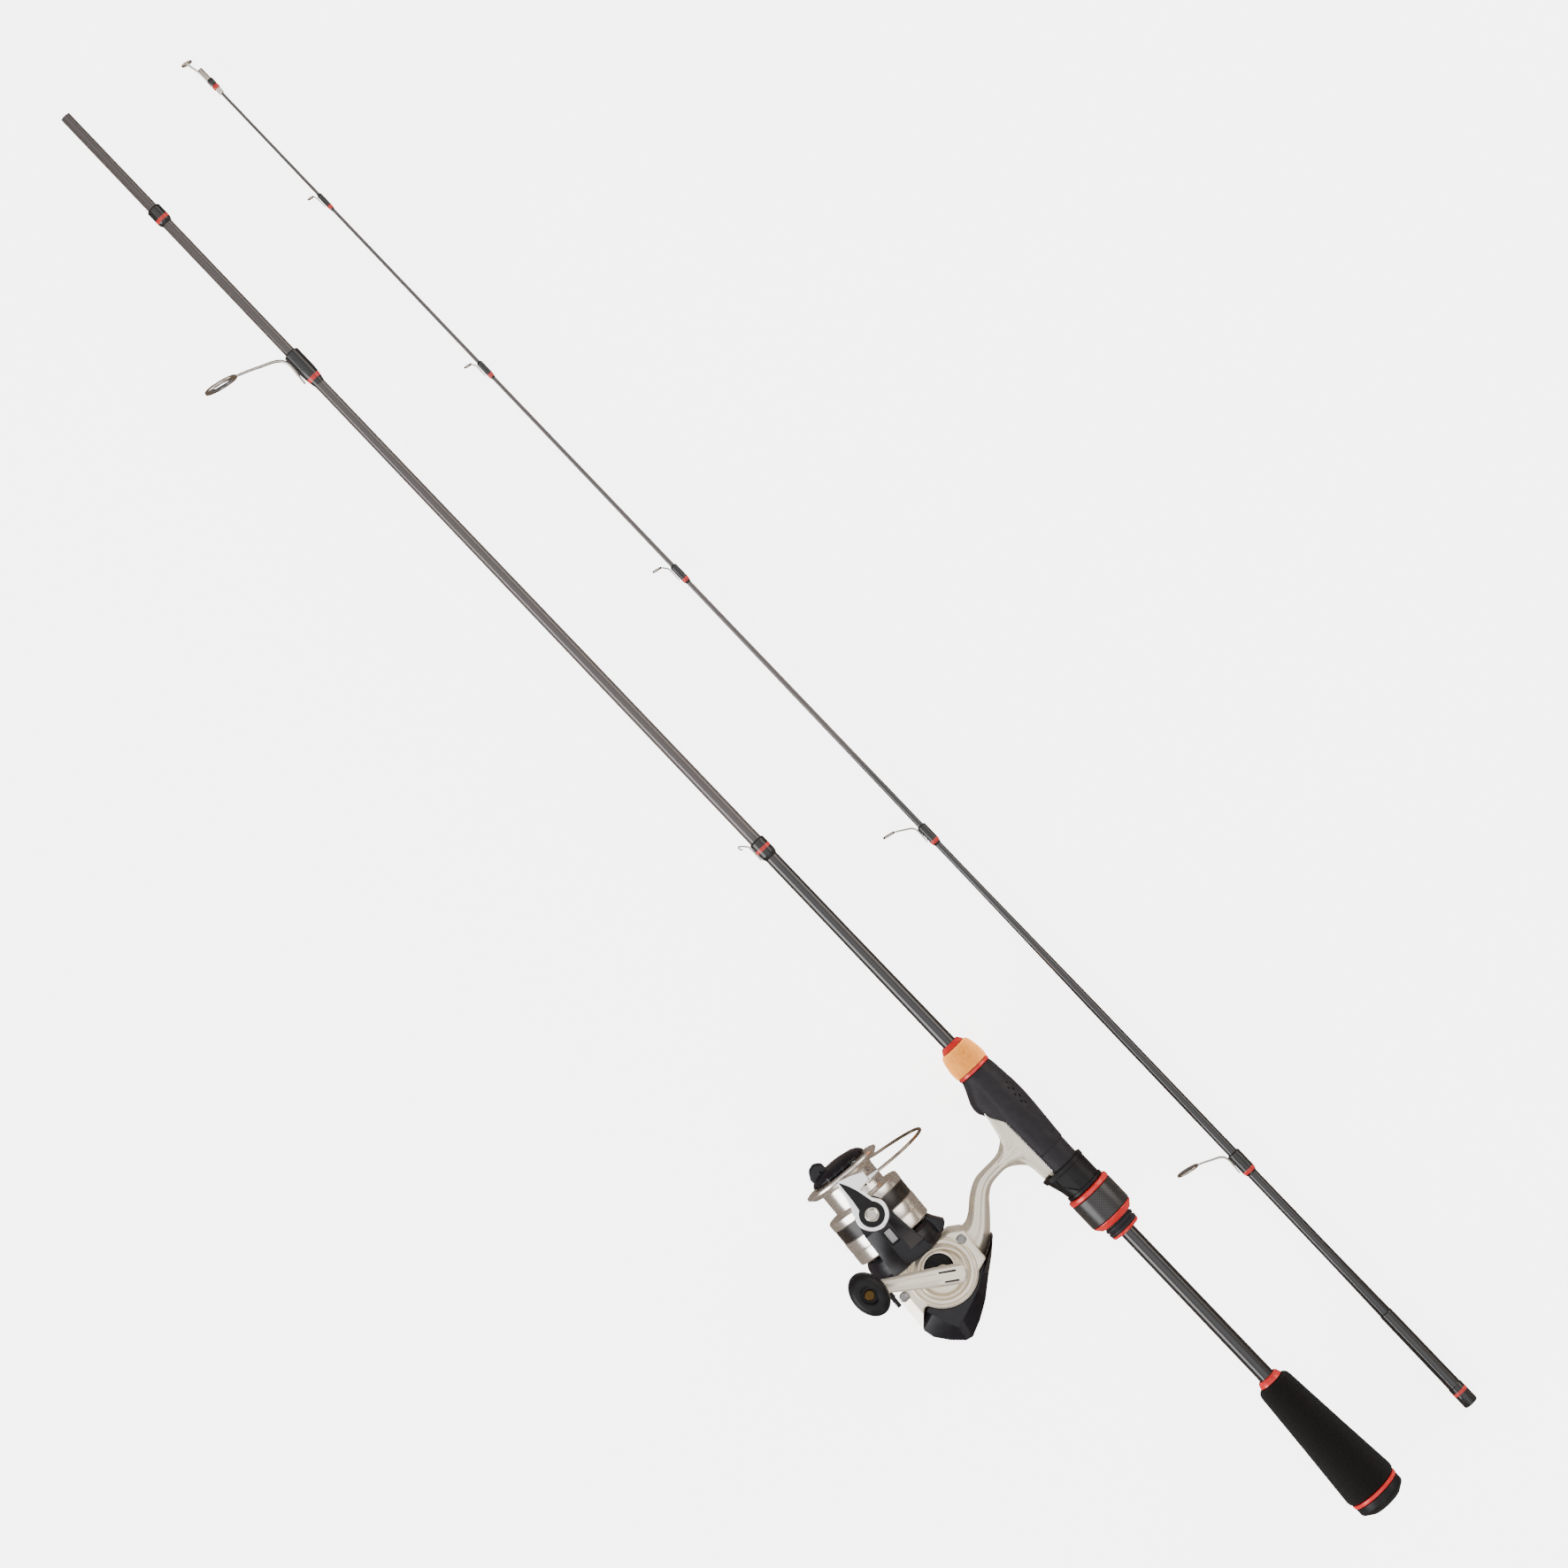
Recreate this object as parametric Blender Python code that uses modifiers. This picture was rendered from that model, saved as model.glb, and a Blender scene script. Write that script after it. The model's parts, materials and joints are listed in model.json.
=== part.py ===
"""A two-piece spinning rod, lying apart, with a spinning reel clamped in its seat.

The rod's butt section lies along +X from the centre of the butt cap's end face (the origin).
The reel hangs towards +Y with its crank side up (+Z). The tip section lies beside the butt
section, towards -Y. Dimensions below are in millimetres; the helpers turn them into metres.
"""
import math

import bmesh
import bpy
from mathutils import Matrix

MM = 0.001

# ---- driving dimensions: rod ------------------------------------------------------------
BUTT_LENGTH = 1029.6
FERRULE_RADIUS = 2.95
FERRULE_SOCKET_RADIUS = 3.3
FERRULE_SOCKET_DEPTH = 68.0
GRIP_START = 11.2
GRIP_END = 90.6
SEAT_START = 204.6
SEAT_END = 320.4
SEAT_BORE = 5.1
FOOT_FLAT_Y = 7.1
CORK_START = 323.0
CORK_END = 337.6
NUT_BORE = 9.6

TIP_START = 1.0
TIP_END = 995.4
TIP_Y = -70.2

# (place along the rod, ring centre height, ring outer radius, ring wire radius, leg foot place)
STRIPPER_GUIDE = (867.3, 39.0, 10.0, 1.15, 848.0)
TIP_GUIDES = {
    5: (199.0, 24.4, 6.65, 0.85, 187.0),
    4: (443.4, 16.2, 3.7, 0.7, 433.0),
    3: (635.0, 7.8, 2.9, 0.6, 628.5),
    2: (786.4, 5.6, 2.4, 0.55, 781.5),
    1: (911.5, 4.5, 2.1, 0.5, 907.5),
}
GUIDE_LEAN = math.radians(12.0)
TIP_TOP_RING = (1011.0, 2.9, 3.3, 0.7)

# ---- driving dimensions: reel -----------------------------------------------------------
REEL_X = 257.0
REEL_Y = 95.3
SPOOL_TILT = math.radians(-4.1)
CRANK_X = -0.25
CRANK_Y = -9.1
KNOB_X = 20.1
KNOB_Y = 26.2
DRUM_X = -0.5
DRUM_Y = -8.6
DRUM_RADIUS = 19.7
HOUSING_FRONT = 13.7
HOUSING_LOW = -15.5
HOUSING_HIGH = 11.0
COVER_HIGH = 14.6
REEL_LOW = -32.6
BAIL_X = 48.7
BAIL_Z = 28.6
SPOOL_RADIUS = 23.1
SPOOL_LIP_RADIUS = 23.4
ARBOR_RADIUS = 16.2
SHAFT_RADIUS = 2.0
LEVER_X = 5.2
SCREW_PLACES = ((6.6, -27.6), (2.2, 15.6))
ROLLER_X = 64.6
ROLLER_Z = 27.0
OSCILLATION_X = -0.8
OSCILLATION_Y = 8.0
DRIVE_TEETH = 37
PINION_TEETH = 7
OSCILLATION_TEETH = 18
DRUM_WALL = 2.2
# Where the cavity's curved wall starts round the drum, in degrees: it clears the oscillation gear's tips.
CAVITY_START = 116.0
ARM_LOW = 34.4
ARM_HIGH = 39.0
BAIL_THICK = 2.6
PART_GAP = 0.3
FINE = 24
MEDIUM = 18
SMALL = 14
TINY = 10

TIP_Z = REEL_LOW + TIP_GUIDES[5][2] + 0.1


# ---- scene, collections and materials ---------------------------------------------------
def clear_scene():
    for thing in list(bpy.data.objects):
        bpy.data.objects.remove(thing, do_unlink=True)


clear_scene()
PARTS = bpy.data.collections.new("spinning_rod")
CUTTERS = bpy.data.collections.new("cutters")
bpy.context.scene.collection.children.link(PARTS)
bpy.context.scene.collection.children.link(CUTTERS)


def material(name, colour, roughness, metallic=0.0):
    made = bpy.data.materials.new(name)
    made.use_nodes = True
    shader = made.node_tree.nodes["Principled BSDF"]
    shader.inputs["Base Color"].default_value = (*colour, 1.0)
    shader.inputs["Roughness"].default_value = roughness
    shader.inputs["Metallic"].default_value = metallic
    return made


CARBON = material("carbon_blank", (0.05, 0.045, 0.045), 0.25)
BLACK = material("black_plastic", (0.02, 0.02, 0.022), 0.45)
FOAM = material("foam_grip", (0.015, 0.015, 0.015), 0.9)
RED = material("red_anodised", (0.75, 0.03, 0.03), 0.35, 0.4)
CORK = material("cork", (0.80, 0.55, 0.30), 0.85)
WEAVE = material("carbon_weave", (0.09, 0.085, 0.08), 0.4)
STEEL = material("stainless_steel", (0.62, 0.6, 0.57), 0.25, 1.0)
CHAMPAGNE = material("champagne_silver", (0.62, 0.57, 0.48), 0.35, 0.7)
SPOOL_SILVER = material("spool_silver", (0.75, 0.73, 0.7), 0.25, 0.9)
GEAR_ZINC = material("gear_zinc", (0.45, 0.45, 0.46), 0.4, 0.9)
BRASS = material("brass", (0.6, 0.42, 0.12), 0.3, 1.0)
CERAMIC = material("guide_ceramic", (0.12, 0.12, 0.13), 0.2)
FELT = material("drag_felt", (0.25, 0.24, 0.22), 0.9)

REEL = bpy.data.objects.new("reel_frame", None)
REEL.location = (REEL_X * MM, REEL_Y * MM, 0.0)
REEL.rotation_euler = (0.0, 0.0, SPOOL_TILT)
CUTTERS.objects.link(REEL)

TURN_ALONG_X = (0.0, math.pi / 2.0, 0.0)
TURN_ALONG_Y = (-math.pi / 2.0, 0.0, 0.0)


# ---- shape helpers ----------------------------------------------------------------------
def place(made, name, finish, at, turn, parent, cutter):
    made.name = name
    made.location = [value * MM for value in at]
    made.rotation_euler = turn
    made.parent = parent
    home = CUTTERS if cutter else PARTS
    home.objects.link(made)
    if finish:
        made.data.materials.append(finish)
    if cutter:
        made.hide_render = True
        made.display_type = "WIRE"
    return made


def smooth(made, degrees=35.0):
    made.data.shade_smooth()
    made.data.set_sharp_from_angle(angle=math.radians(degrees))
    return made


def turned(name, profile, finish=None, at=(0, 0, 0), turn=(0, 0, 0), steps=SMALL, closed=False,
           parent=None, cutter=False):
    """Spin a profile of (height, radius) points, listed down its outer side from the top."""
    mesh = bpy.data.meshes.new(name)
    shape = bmesh.new()
    points = [shape.verts.new((radius * MM, 0.0, height * MM)) for height, radius in profile]
    for first, second in zip(points, points[1:]):
        shape.edges.new((first, second))
    if closed:
        shape.edges.new((points[-1], points[0]))
    shape.to_mesh(mesh)
    shape.free()
    made = place(bpy.data.objects.new(name, mesh), name, finish, at, turn, parent, cutter)
    screw = made.modifiers.new("turn", "SCREW")
    screw.axis = "Z"
    screw.angle = math.tau
    screw.steps = steps
    screw.render_steps = steps
    screw.use_merge_vertices = True
    screw.merge_threshold = 0.000001
    screw.use_smooth_shade = True
    return made


def rod_profile(outer):
    """Close a list of (height, radius) points, top first, onto the axis at both ends."""
    return [(outer[0][0], 0.0)] + list(outer) + [(outer[-1][0], 0.0)]


def sleeve_profile(outer, bore, bore_end=None):
    """Close an outer profile, top first, with a straight or tapered bore."""
    last = bore if bore_end is None else bore_end
    return list(outer) + [(outer[-1][0], last), (outer[0][0], bore)]


def sleeve(name, outer, bore, finish, bore_end=None, **options):
    return turned(name, sleeve_profile(outer, bore, bore_end), finish, closed=True, **options)


def disc(name, top, low, radius, **options):
    return turned(name, rod_profile([(top, radius), (low, radius)]), **options)


def torus_profile(major, minor, sides=6):
    turns = [math.tau * index / sides for index in range(sides)]
    return [(minor * math.cos(angle), major + minor * math.sin(angle)) for angle in turns]


def arc(centre_x, centre_y, radius, first, last, count):
    """Points on a circle from one angle to another, in degrees, both ends included."""
    angles = [math.radians(first + (last - first) * step / count) for step in range(count + 1)]
    return [(centre_x + radius * math.cos(a), centre_y + radius * math.sin(a)) for a in angles]


def curve_to_mesh(made, name):
    """Turn a curve object into a welded mesh datablock."""
    bpy.context.view_layer.update()
    evaluated = made.evaluated_get(bpy.context.evaluated_depsgraph_get())
    mesh = bpy.data.meshes.new_from_object(evaluated)
    shape = bmesh.new()
    shape.from_mesh(mesh)
    bmesh.ops.remove_doubles(shape, verts=shape.verts, dist=0.000002)
    bmesh.ops.recalc_face_normals(shape, faces=shape.faces)
    shape.to_mesh(mesh)
    shape.free()
    mesh.name = name
    bpy.data.objects.remove(made, do_unlink=True)
    return mesh


def plate(name, outline, low, high, finish=None, bevel=0.0, segments=1, parent=None, cutter=False,
          at=(0, 0, 0), turn=(0, 0, 0)):
    """A flat outline in X and Y, extruded from one height to another."""
    data = bpy.data.curves.new(name, "CURVE")
    data.dimensions = "2D"
    data.fill_mode = "BOTH"
    data.extrude = (high - low) * 0.5 * MM
    spline = data.splines.new("POLY")
    spline.points.add(len(outline) - 1)
    for point, (across, along) in zip(spline.points, outline):
        point.co = (across * MM, along * MM, 0.0, 1.0)
    spline.use_cyclic_u = True
    curve = bpy.data.objects.new(name, data)
    CUTTERS.objects.link(curve)
    mesh = curve_to_mesh(curve, name)
    mesh.transform(Matrix.Translation((0.0, 0.0, (high + low) * 0.5 * MM)))
    mesh.materials.clear()
    made = place(bpy.data.objects.new(name, mesh), name, finish, at, turn, parent, cutter)
    if bevel:
        edge = made.modifiers.new("edges", "BEVEL")
        edge.width = bevel * MM
        edge.segments = segments
        edge.limit_method = "ANGLE"
        edge.angle_limit = math.radians(40.0)
    return made


def box(name, low, high, finish=None, bevel=0.0, **options):
    outline = [(low[0], low[1]), (high[0], low[1]), (high[0], high[1]), (low[0], high[1])]
    return plate(name, outline, low[2], high[2], finish, bevel, **options)


def wire(name, route, radius, finish=None, swell=None, parent=None, cutter=False, at=(0, 0, 0)):
    """A round wire along a route; swell gives the radius factor at each point."""
    data = bpy.data.curves.new(name, "CURVE")
    data.dimensions = "3D"
    data.bevel_depth = radius * MM
    data.bevel_resolution = 1
    data.use_fill_caps = True
    spline = data.splines.new("POLY")
    spline.points.add(len(route) - 1)
    for index, point in enumerate(spline.points):
        point.co = (*[value * MM for value in route[index]], 1.0)
        point.radius = swell[index] if swell else 1.0
    curve = bpy.data.objects.new(name, data)
    CUTTERS.objects.link(curve)
    mesh = curve_to_mesh(curve, name)
    mesh.materials.clear()
    made = place(bpy.data.objects.new(name, mesh), name, finish, at, (0, 0, 0), parent, cutter)
    return smooth(made, 50.0)


def combine(made, operation, *others):
    for other in others:
        step = made.modifiers.new(operation.lower(), "BOOLEAN")
        step.operation = operation
        step.solver = "EXACT"
        step.object = other
    return made


def join(made, *others):
    return combine(made, "UNION", *others)


def cut(made, *others):
    return combine(made, "DIFFERENCE", *others)


def to_reel(points):
    """Points given beside the rod, expressed in the reel's tilted frame."""
    cosine = math.cos(-SPOOL_TILT)
    sine = math.sin(-SPOOL_TILT)
    moved = [(x - REEL_X, y - REEL_Y) for x, y in points]
    return [(x * cosine - y * sine, x * sine + y * cosine) for x, y in moved]


def gear_outline(teeth, root, tip):
    """A toothed outline round the origin, with pointed teeth."""
    points = []
    for tooth in range(teeth):
        for offset, radius in ((0.0, root), (0.5, tip)):
            angle = math.tau * (tooth + offset) / teeth
            points.append((radius * math.cos(angle), radius * math.sin(angle)))
    return points


# ---- rod: butt section ------------------------------------------------------------------
def butt_radius(place_x):
    """Outer radius of the bare butt blank."""
    stations = ((0.0, 4.75), (100.0, 4.62), (342.0, 4.15), (420.0, 3.8), (656.0, 3.42),
                (787.0, 3.12), (1030.0, FERRULE_RADIUS))
    for (first, wide), (second, thin) in zip(stations, stations[1:]):
        if place_x <= second:
            return wide + (thin - wide) * (place_x - first) / (second - first)
    return FERRULE_RADIUS


def wrapped(first, last, height, ramp=2.5):
    """Extra (place, added radius) points of a thread wrap laid on a blank."""
    return [(first, 0.0), (first + 0.4, height * 0.6), (first + ramp, height),
            (last - 0.4, height), (last, 0.0)]


def build_butt_blank():
    wraps = wrapped(479.3, 491.7, 0.9) + wrapped(831.0, 854.4, 1.5, 12.0) + wrapped(950.0, 961.6, 1.1)
    bare = [(x, 0.0) for x in (8.6, 100.0, 342.0, 420.0, 656.0, 787.0, BUTT_LENGTH)]
    stations = sorted(bare + wraps, reverse=True)
    outer = [(x, butt_radius(x) + added) for x, added in stations]
    return sleeve("butt_blank", outer, 2.1, CARBON, bore_end=3.7, turn=TURN_ALONG_X, steps=TINY)


def build_butt_end():
    cap = [(8.2, 14.6), (4.2, 14.7), (3.2, 14.2), (0.6, 10.6), (0.0, 9.8)]
    turned("butt_cap", [(14.5, 0.0), (14.5, 3.2), (8.2, 3.3)] + cap + [(0.0, 0.0)], BLACK,
           turn=TURN_ALONG_X, steps=MEDIUM)
    sleeve("butt_trim_ring", [(10.9, 14.6), (10.6, 15.0), (8.8, 15.0), (8.5, 14.6)], 5.4, RED,
           turn=TURN_ALONG_X, steps=MEDIUM)
    foam = [(GRIP_END - 1.4, 8.4), (GRIP_END - 2.6, 9.8), (86.0, 10.3), (14.6, 15.8),
            (12.4, 15.6), (GRIP_START, 14.6)]
    sleeve("rear_grip", [(GRIP_END - 1.0, 7.6)] + foam, 5.1, FOAM, turn=TURN_ALONG_X, steps=MEDIUM)
    sleeve("rear_grip_check", [(93.4, 5.9), (92.8, 6.3), (GRIP_END - 0.7, 7.2)], 5.0, RED,
           turn=TURN_ALONG_X, steps=SMALL)


def build_seat():
    """The seat body: plain rear barrel, flat for the reel foot and the fixed front hood."""
    ribs = []
    for rib in (209.6, 206.8):
        ribs += [(rib, 9.2), (rib - 0.5, 8.6), (rib - 1.1, 8.6), (rib - 1.6, 9.2)]
    outer = [(SEAT_END, 10.0), (319.6, 10.3), (310.0, 11.1), (294.6, 11.9), (278.0, 10.9), (263.4, 9.9),
             (263.0, 9.5), (253.0, 9.3), (214.0, 9.2)] + ribs + [(SEAT_START, 8.9)]
    seat = sleeve("reel_seat", outer, SEAT_BORE, BLACK, turn=TURN_ALONG_X, steps=MEDIUM)
    hood_outline = [(286.0, 0.0), (286.0, 5.0), (289.6, 6.9), (302.6, 14.9), (304.4, 15.3),
                    (307.6, 15.2), (318.8, 10.4), (318.8, 0.0)]
    hood = plate("seat_hood", hood_outline, -8.6, 8.6, bevel=2.2, cutter=True)
    core = disc("seat_core", 330.0, 280.0, SEAT_BORE, turn=TURN_ALONG_X, steps=MEDIUM, cutter=True)
    pocket_outline = [(235.0, FOOT_FLAT_Y), (307.4, FOOT_FLAT_Y), (307.4, 10.1), (299.4, 12.8),
                      (292.0, 16.6), (235.0, 16.6)]
    pocket = plate("foot_pocket", pocket_outline, -7.4, 7.4, cutter=True)
    flat = box("foot_flat", (235.0, FOOT_FLAT_Y, -20.0), (287.0, 20.0, 20.0), cutter=True)
    join(seat, hood)
    cut(seat, core, pocket, flat)
    sleeve("seat_rear_check", [(204.3, 8.8), (203.8, 9.0), (202.5, 8.4)], 5.0, RED,
           turn=TURN_ALONG_X, steps=SMALL)
    sleeve("seat_front_ring", [(322.7, 10.2), (321.0, 10.3), (320.7, 10.0)], 5.0, RED,
           turn=TURN_ALONG_X, steps=MEDIUM)


def build_fore_grip():
    cork = [(CORK_END, 7.9), (336.8, 8.8), (334.6, 9.7), (329.6, 10.6), (326.4, 10.85),
            (CORK_START + 0.4, 10.6), (CORK_START, 10.3)]
    sleeve("fore_grip", cork, 4.9, CORK, turn=TURN_ALONG_X, steps=MEDIUM)
    sleeve("fore_grip_check", [(340.8, 5.3), (340.4, 5.7), (337.9, 7.4)], 4.7, RED,
           turn=TURN_ALONG_X, steps=SMALL)


def build_hook_keeper():
    """A small wire hoop standing on the keeper wrap, for the hook."""
    low = 5.05
    route = [(481.5, low + 0.1, 0.0), (490.5, low + 0.1, 0.0), (492.6, low + 1.0, 0.0),
             (495.0, 8.4, 0.0), (495.2, 9.3, 0.0), (494.2, 9.6, 0.0), (492.6, 8.6, 0.0)]
    wire("hook_keeper", route, 0.45, STEEL)


# ---- rod: guides ------------------------------------------------------------------------
def build_guide(name, spec, blank_y, blank_z, blank_radius):
    """One single-leg guide: a ring on a bent leg whose foot lies along the blank."""
    ring_x, height, outer, thick, foot_x = spec
    major = outer - thick
    lean_x = math.sin(GUIDE_LEAN)
    base_y = blank_y + height - major * math.cos(GUIDE_LEAN)
    base_x = ring_x - major * lean_x
    top_of_blank = blank_y + blank_radius + thick * 0.75 + PART_GAP
    knee = (foot_x + (base_x - foot_x) * 0.28, top_of_blank)
    hip = (foot_x + (base_x - foot_x) * 0.72, top_of_blank + (base_y - top_of_blank) * 0.52)
    route = [(foot_x - 10.0 * thick, top_of_blank), knee, hip, (base_x, base_y)]
    leg = wire(name, [(x, y, blank_z) for x, y in route], thick * 0.75, STEEL)
    ring = turned(name + "_hoop", torus_profile(major, thick), at=(ring_x, blank_y + height, blank_z),
                  turn=(0.0, math.pi / 2.0, -GUIDE_LEAN), steps=SMALL, closed=True, cutter=True)
    return join(leg, ring)


def build_guide_ring(name, spec, blank_y, blank_z):
    """The smooth insert inside a guide's hoop."""
    ring_x, height, outer, thick, _ = spec
    section = thick * 0.55
    inner = outer - thick * 2.0 - PART_GAP - section
    turned(name, torus_profile(inner, section), CERAMIC, at=(ring_x, blank_y + height, blank_z),
           turn=(0.0, math.pi / 2.0, -GUIDE_LEAN), steps=SMALL, closed=True)


def build_stripper_guide():
    build_guide("stripper_frame", STRIPPER_GUIDE, 0.0, 0.0, butt_radius(848.0) + 1.5)
    build_guide_ring("stripper_ring", STRIPPER_GUIDE, 0.0, 0.0)


# ---- rod: tip section -------------------------------------------------------------------
def tip_radius(place_x):
    stations = ((0.0, 3.75), (72.0, 3.5), (116.0, 3.1), (300.0, 2.6), (326.0, 2.4), (392.0, 1.95),
                (490.0, 1.6), (655.0, 1.25), (780.0, 1.05), (852.0, 0.95), (1000.0, 0.8))
    for (first, wide), (second, thin) in zip(stations, stations[1:]):
        if place_x <= second:
            return wide + (thin - wide) * (place_x - first) / (second - first)
    return stations[-1][1]


def build_tip_section():
    at = (0.0, TIP_Y, TIP_Z)
    socket_end = TIP_START + FERRULE_SOCKET_DEPTH
    outer = [(socket_end, 3.85), (14.6, 4.0), (14.0, 4.35), (TIP_START + 0.5, 4.35), (TIP_START, 4.1)]
    sleeve("tip_ferrule", outer, FERRULE_SOCKET_RADIUS, CARBON, turn=TURN_ALONG_X, steps=SMALL, at=at)
    wraps = []
    for number, spec in TIP_GUIDES.items():
        reach = 10.5 * spec[3] + 4.0
        first = spec[4] - reach
        wraps += wrapped(first, first + reach + 2.5, 0.42 + 0.1 * number, 3.0)
    bare = [(x, 0.0) for x in (socket_end + 0.3, 116.0, 300.0, 326.0, 392.0, 490.0, 655.0,
                               852.0, TIP_END)]
    stations = sorted(bare + wraps, reverse=True)
    points = [(x, tip_radius(x) + added) for x, added in stations]
    turned("tip_blank", rod_profile(points), CARBON, turn=TURN_ALONG_X, steps=TINY, at=at)
    for number, spec in TIP_GUIDES.items():
        on_wrap = tip_radius(spec[4]) + 0.42 + 0.1 * number
        build_guide(f"guide_frame_{number}", spec, TIP_Y, TIP_Z, on_wrap)
    for number in (4, 5):
        build_guide_ring(f"guide_ring_{number}", TIP_GUIDES[number], TIP_Y, TIP_Z)
    build_tip_top()


def build_tip_top():
    """The tube over the blank's end and the ring that its two wires carry."""
    ring_x, height, outer, thick = TIP_TOP_RING
    at = (0.0, TIP_Y, TIP_Z)
    tube = sleeve("tip_top", [(1004.0, 1.3), (1003.4, 1.45), (986.6, 1.45), (986.0, 1.3)], 1.12, STEEL,
                  turn=TURN_ALONG_X, steps=TINY, at=at)
    hoop = turned("tip_hoop", torus_profile(outer - thick, thick), at=(ring_x, TIP_Y + height, TIP_Z),
                  turn=(0.0, math.pi / 2.0, -GUIDE_LEAN), steps=SMALL, closed=True, cutter=True)
    braces = []
    for side in (-1.0, 1.0):
        route = [(990.0, 1.2, side * 0.9), (1002.0, 1.3, side * 1.3), (1010.6, height, side * 2.7)]
        braces.append(wire(f"tip_brace_{side:.0f}", [(x, TIP_Y + y, TIP_Z + z) for x, y, z in route],
                           0.5, cutter=True))
    join(tube, *braces, hoop)


# ---- rod: moving hood and its nut -------------------------------------------------------
def build_sliding_hood():
    outer = [(251.6, 10.6), (250.8, 10.9), (238.0, 10.9), (236.2, 11.2), (236.0, 11.9),
             (234.6, 11.9), (234.2, 11.5)]
    hood = sleeve("sliding_hood", outer, 9.7, BLACK, turn=TURN_ALONG_X, steps=MEDIUM)
    lip_outline = [(238.0, 4.0), (238.0, 11.8), (241.0, 12.5), (250.6, 14.6), (251.6, 14.6), (251.6, 4.0)]
    lip = plate("hood_lip", lip_outline, -8.4, 8.4, bevel=1.6, cutter=True)
    bore = disc("hood_bore", 252.0, 230.0, 9.7, turn=TURN_ALONG_X, steps=MEDIUM, cutter=True)
    pocket = box("hood_pocket", (242.0, 3.0, -7.4), (256.0, 13.0, 7.4), cutter=True)
    join(hood, lip)
    cut(hood, bore, pocket)


def build_hood_nut():
    turn = dict(turn=TURN_ALONG_X, steps=MEDIUM)
    barrel = [(229.6, 13.0), (229.3, 13.2), (215.2, 13.2), (214.9, 13.0)]
    sleeve("hood_nut", barrel, NUT_BORE, WEAVE, **turn)
    sleeve("nut_rear_ring", [(214.6, 12.9), (213.8, 12.9), (210.6, 10.3)], NUT_BORE, RED, **turn)
    sleeve("nut_front_ring", [(233.8, 12.4), (233.2, 13.3), (230.4, 13.4), (229.9, 13.1)], NUT_BORE, RED,
           **turn)


# ---- reel: fixed housing ----------------------------------------------------------------
def housing_outline():
    return ([(HOUSING_FRONT, -25.0), (HOUSING_FRONT, 19.4), (-16.4, 18.7), (-9.2, 10.6)]
            + arc(DRUM_X, DRUM_Y, DRUM_RADIUS, 118.0, 232.0, 12) + [(-9.6, -31.5), (9.8, -31.5)])


def cavity_outline():
    return ([(12.2, -24.0), (12.2, 16.8), (-8.0, 16.8), (-8.0, 9.6)]
            + arc(DRUM_X, DRUM_Y, DRUM_RADIUS - DRUM_WALL, CAVITY_START, 235.0, 10) + [(-7.0, -24.0)])


def stem_outline():
    return [(-10.0, -28.0), (-9.6, -31.8), (-6.2, -37.4), (-1.0, -42.4), (5.4, -47.6), (12.9, -53.2),
            (17.2, -58.6), (18.8, -65.6), (19.0, -76.0), (28.6, -76.0), (28.5, -72.1), (27.1, -65.0),
            (25.5, -53.2), (22.0, -47.2), (16.9, -42.4), (11.8, -36.6), (10.4, -31.9), (11.8, -26.0)]


def foot_outline():
    return to_reel([(243.8, 7.4), (306.6, 7.4), (306.6, 9.6), (299.2, 12.3), (289.9, 14.3), (284.6, 16.8),
                    (281.6, 21.0), (280.0, 26.0), (271.4, 26.0), (270.0, 20.0), (266.8, 16.6),
                    (262.0, 14.2), (251.8, 12.2), (243.8, 9.6)])


def build_housing():
    tilted = dict(parent=REEL)
    hidden = dict(parent=REEL, cutter=True)
    body = plate("reel_body", housing_outline(), HOUSING_LOW, HOUSING_HIGH, CHAMPAGNE, bevel=1.2, **tilted)
    stem = plate("stem", stem_outline(), -6.4, 6.4, bevel=2.4, **hidden)
    foot = plate("foot", foot_outline(), -7.0, 7.0, bevel=1.0, **hidden)
    boss_at = (CRANK_X, CRANK_Y, 0.0)
    boss = disc("far_boss", HOUSING_LOW + 1.0, -20.0, 9.2, at=boss_at, steps=MEDIUM, **hidden)
    cavity = plate("cavity", cavity_outline(), -13.4, 30.0, **hidden)
    seat = disc("far_bearing_seat", 0.0, -18.8, 6.7, at=boss_at, steps=SMALL, **hidden)
    socket = disc("far_socket", -10.0, -40.0, 4.4, at=boss_at, steps=SMALL, **hidden)
    shaft_hole = disc("shaft_hole", 20.0, 8.0, 7.7, turn=TURN_ALONG_X, steps=SMALL, **hidden)
    lever_hole = disc("lever_hole", 30.0, 14.0, 1.9, at=(LEVER_X, 0.0, 0.0), turn=TURN_ALONG_Y,
                      steps=TINY, **hidden)
    join(body, stem, foot, boss)
    cut(body, cavity, seat, socket, shaft_hole, lever_hole)


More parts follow.
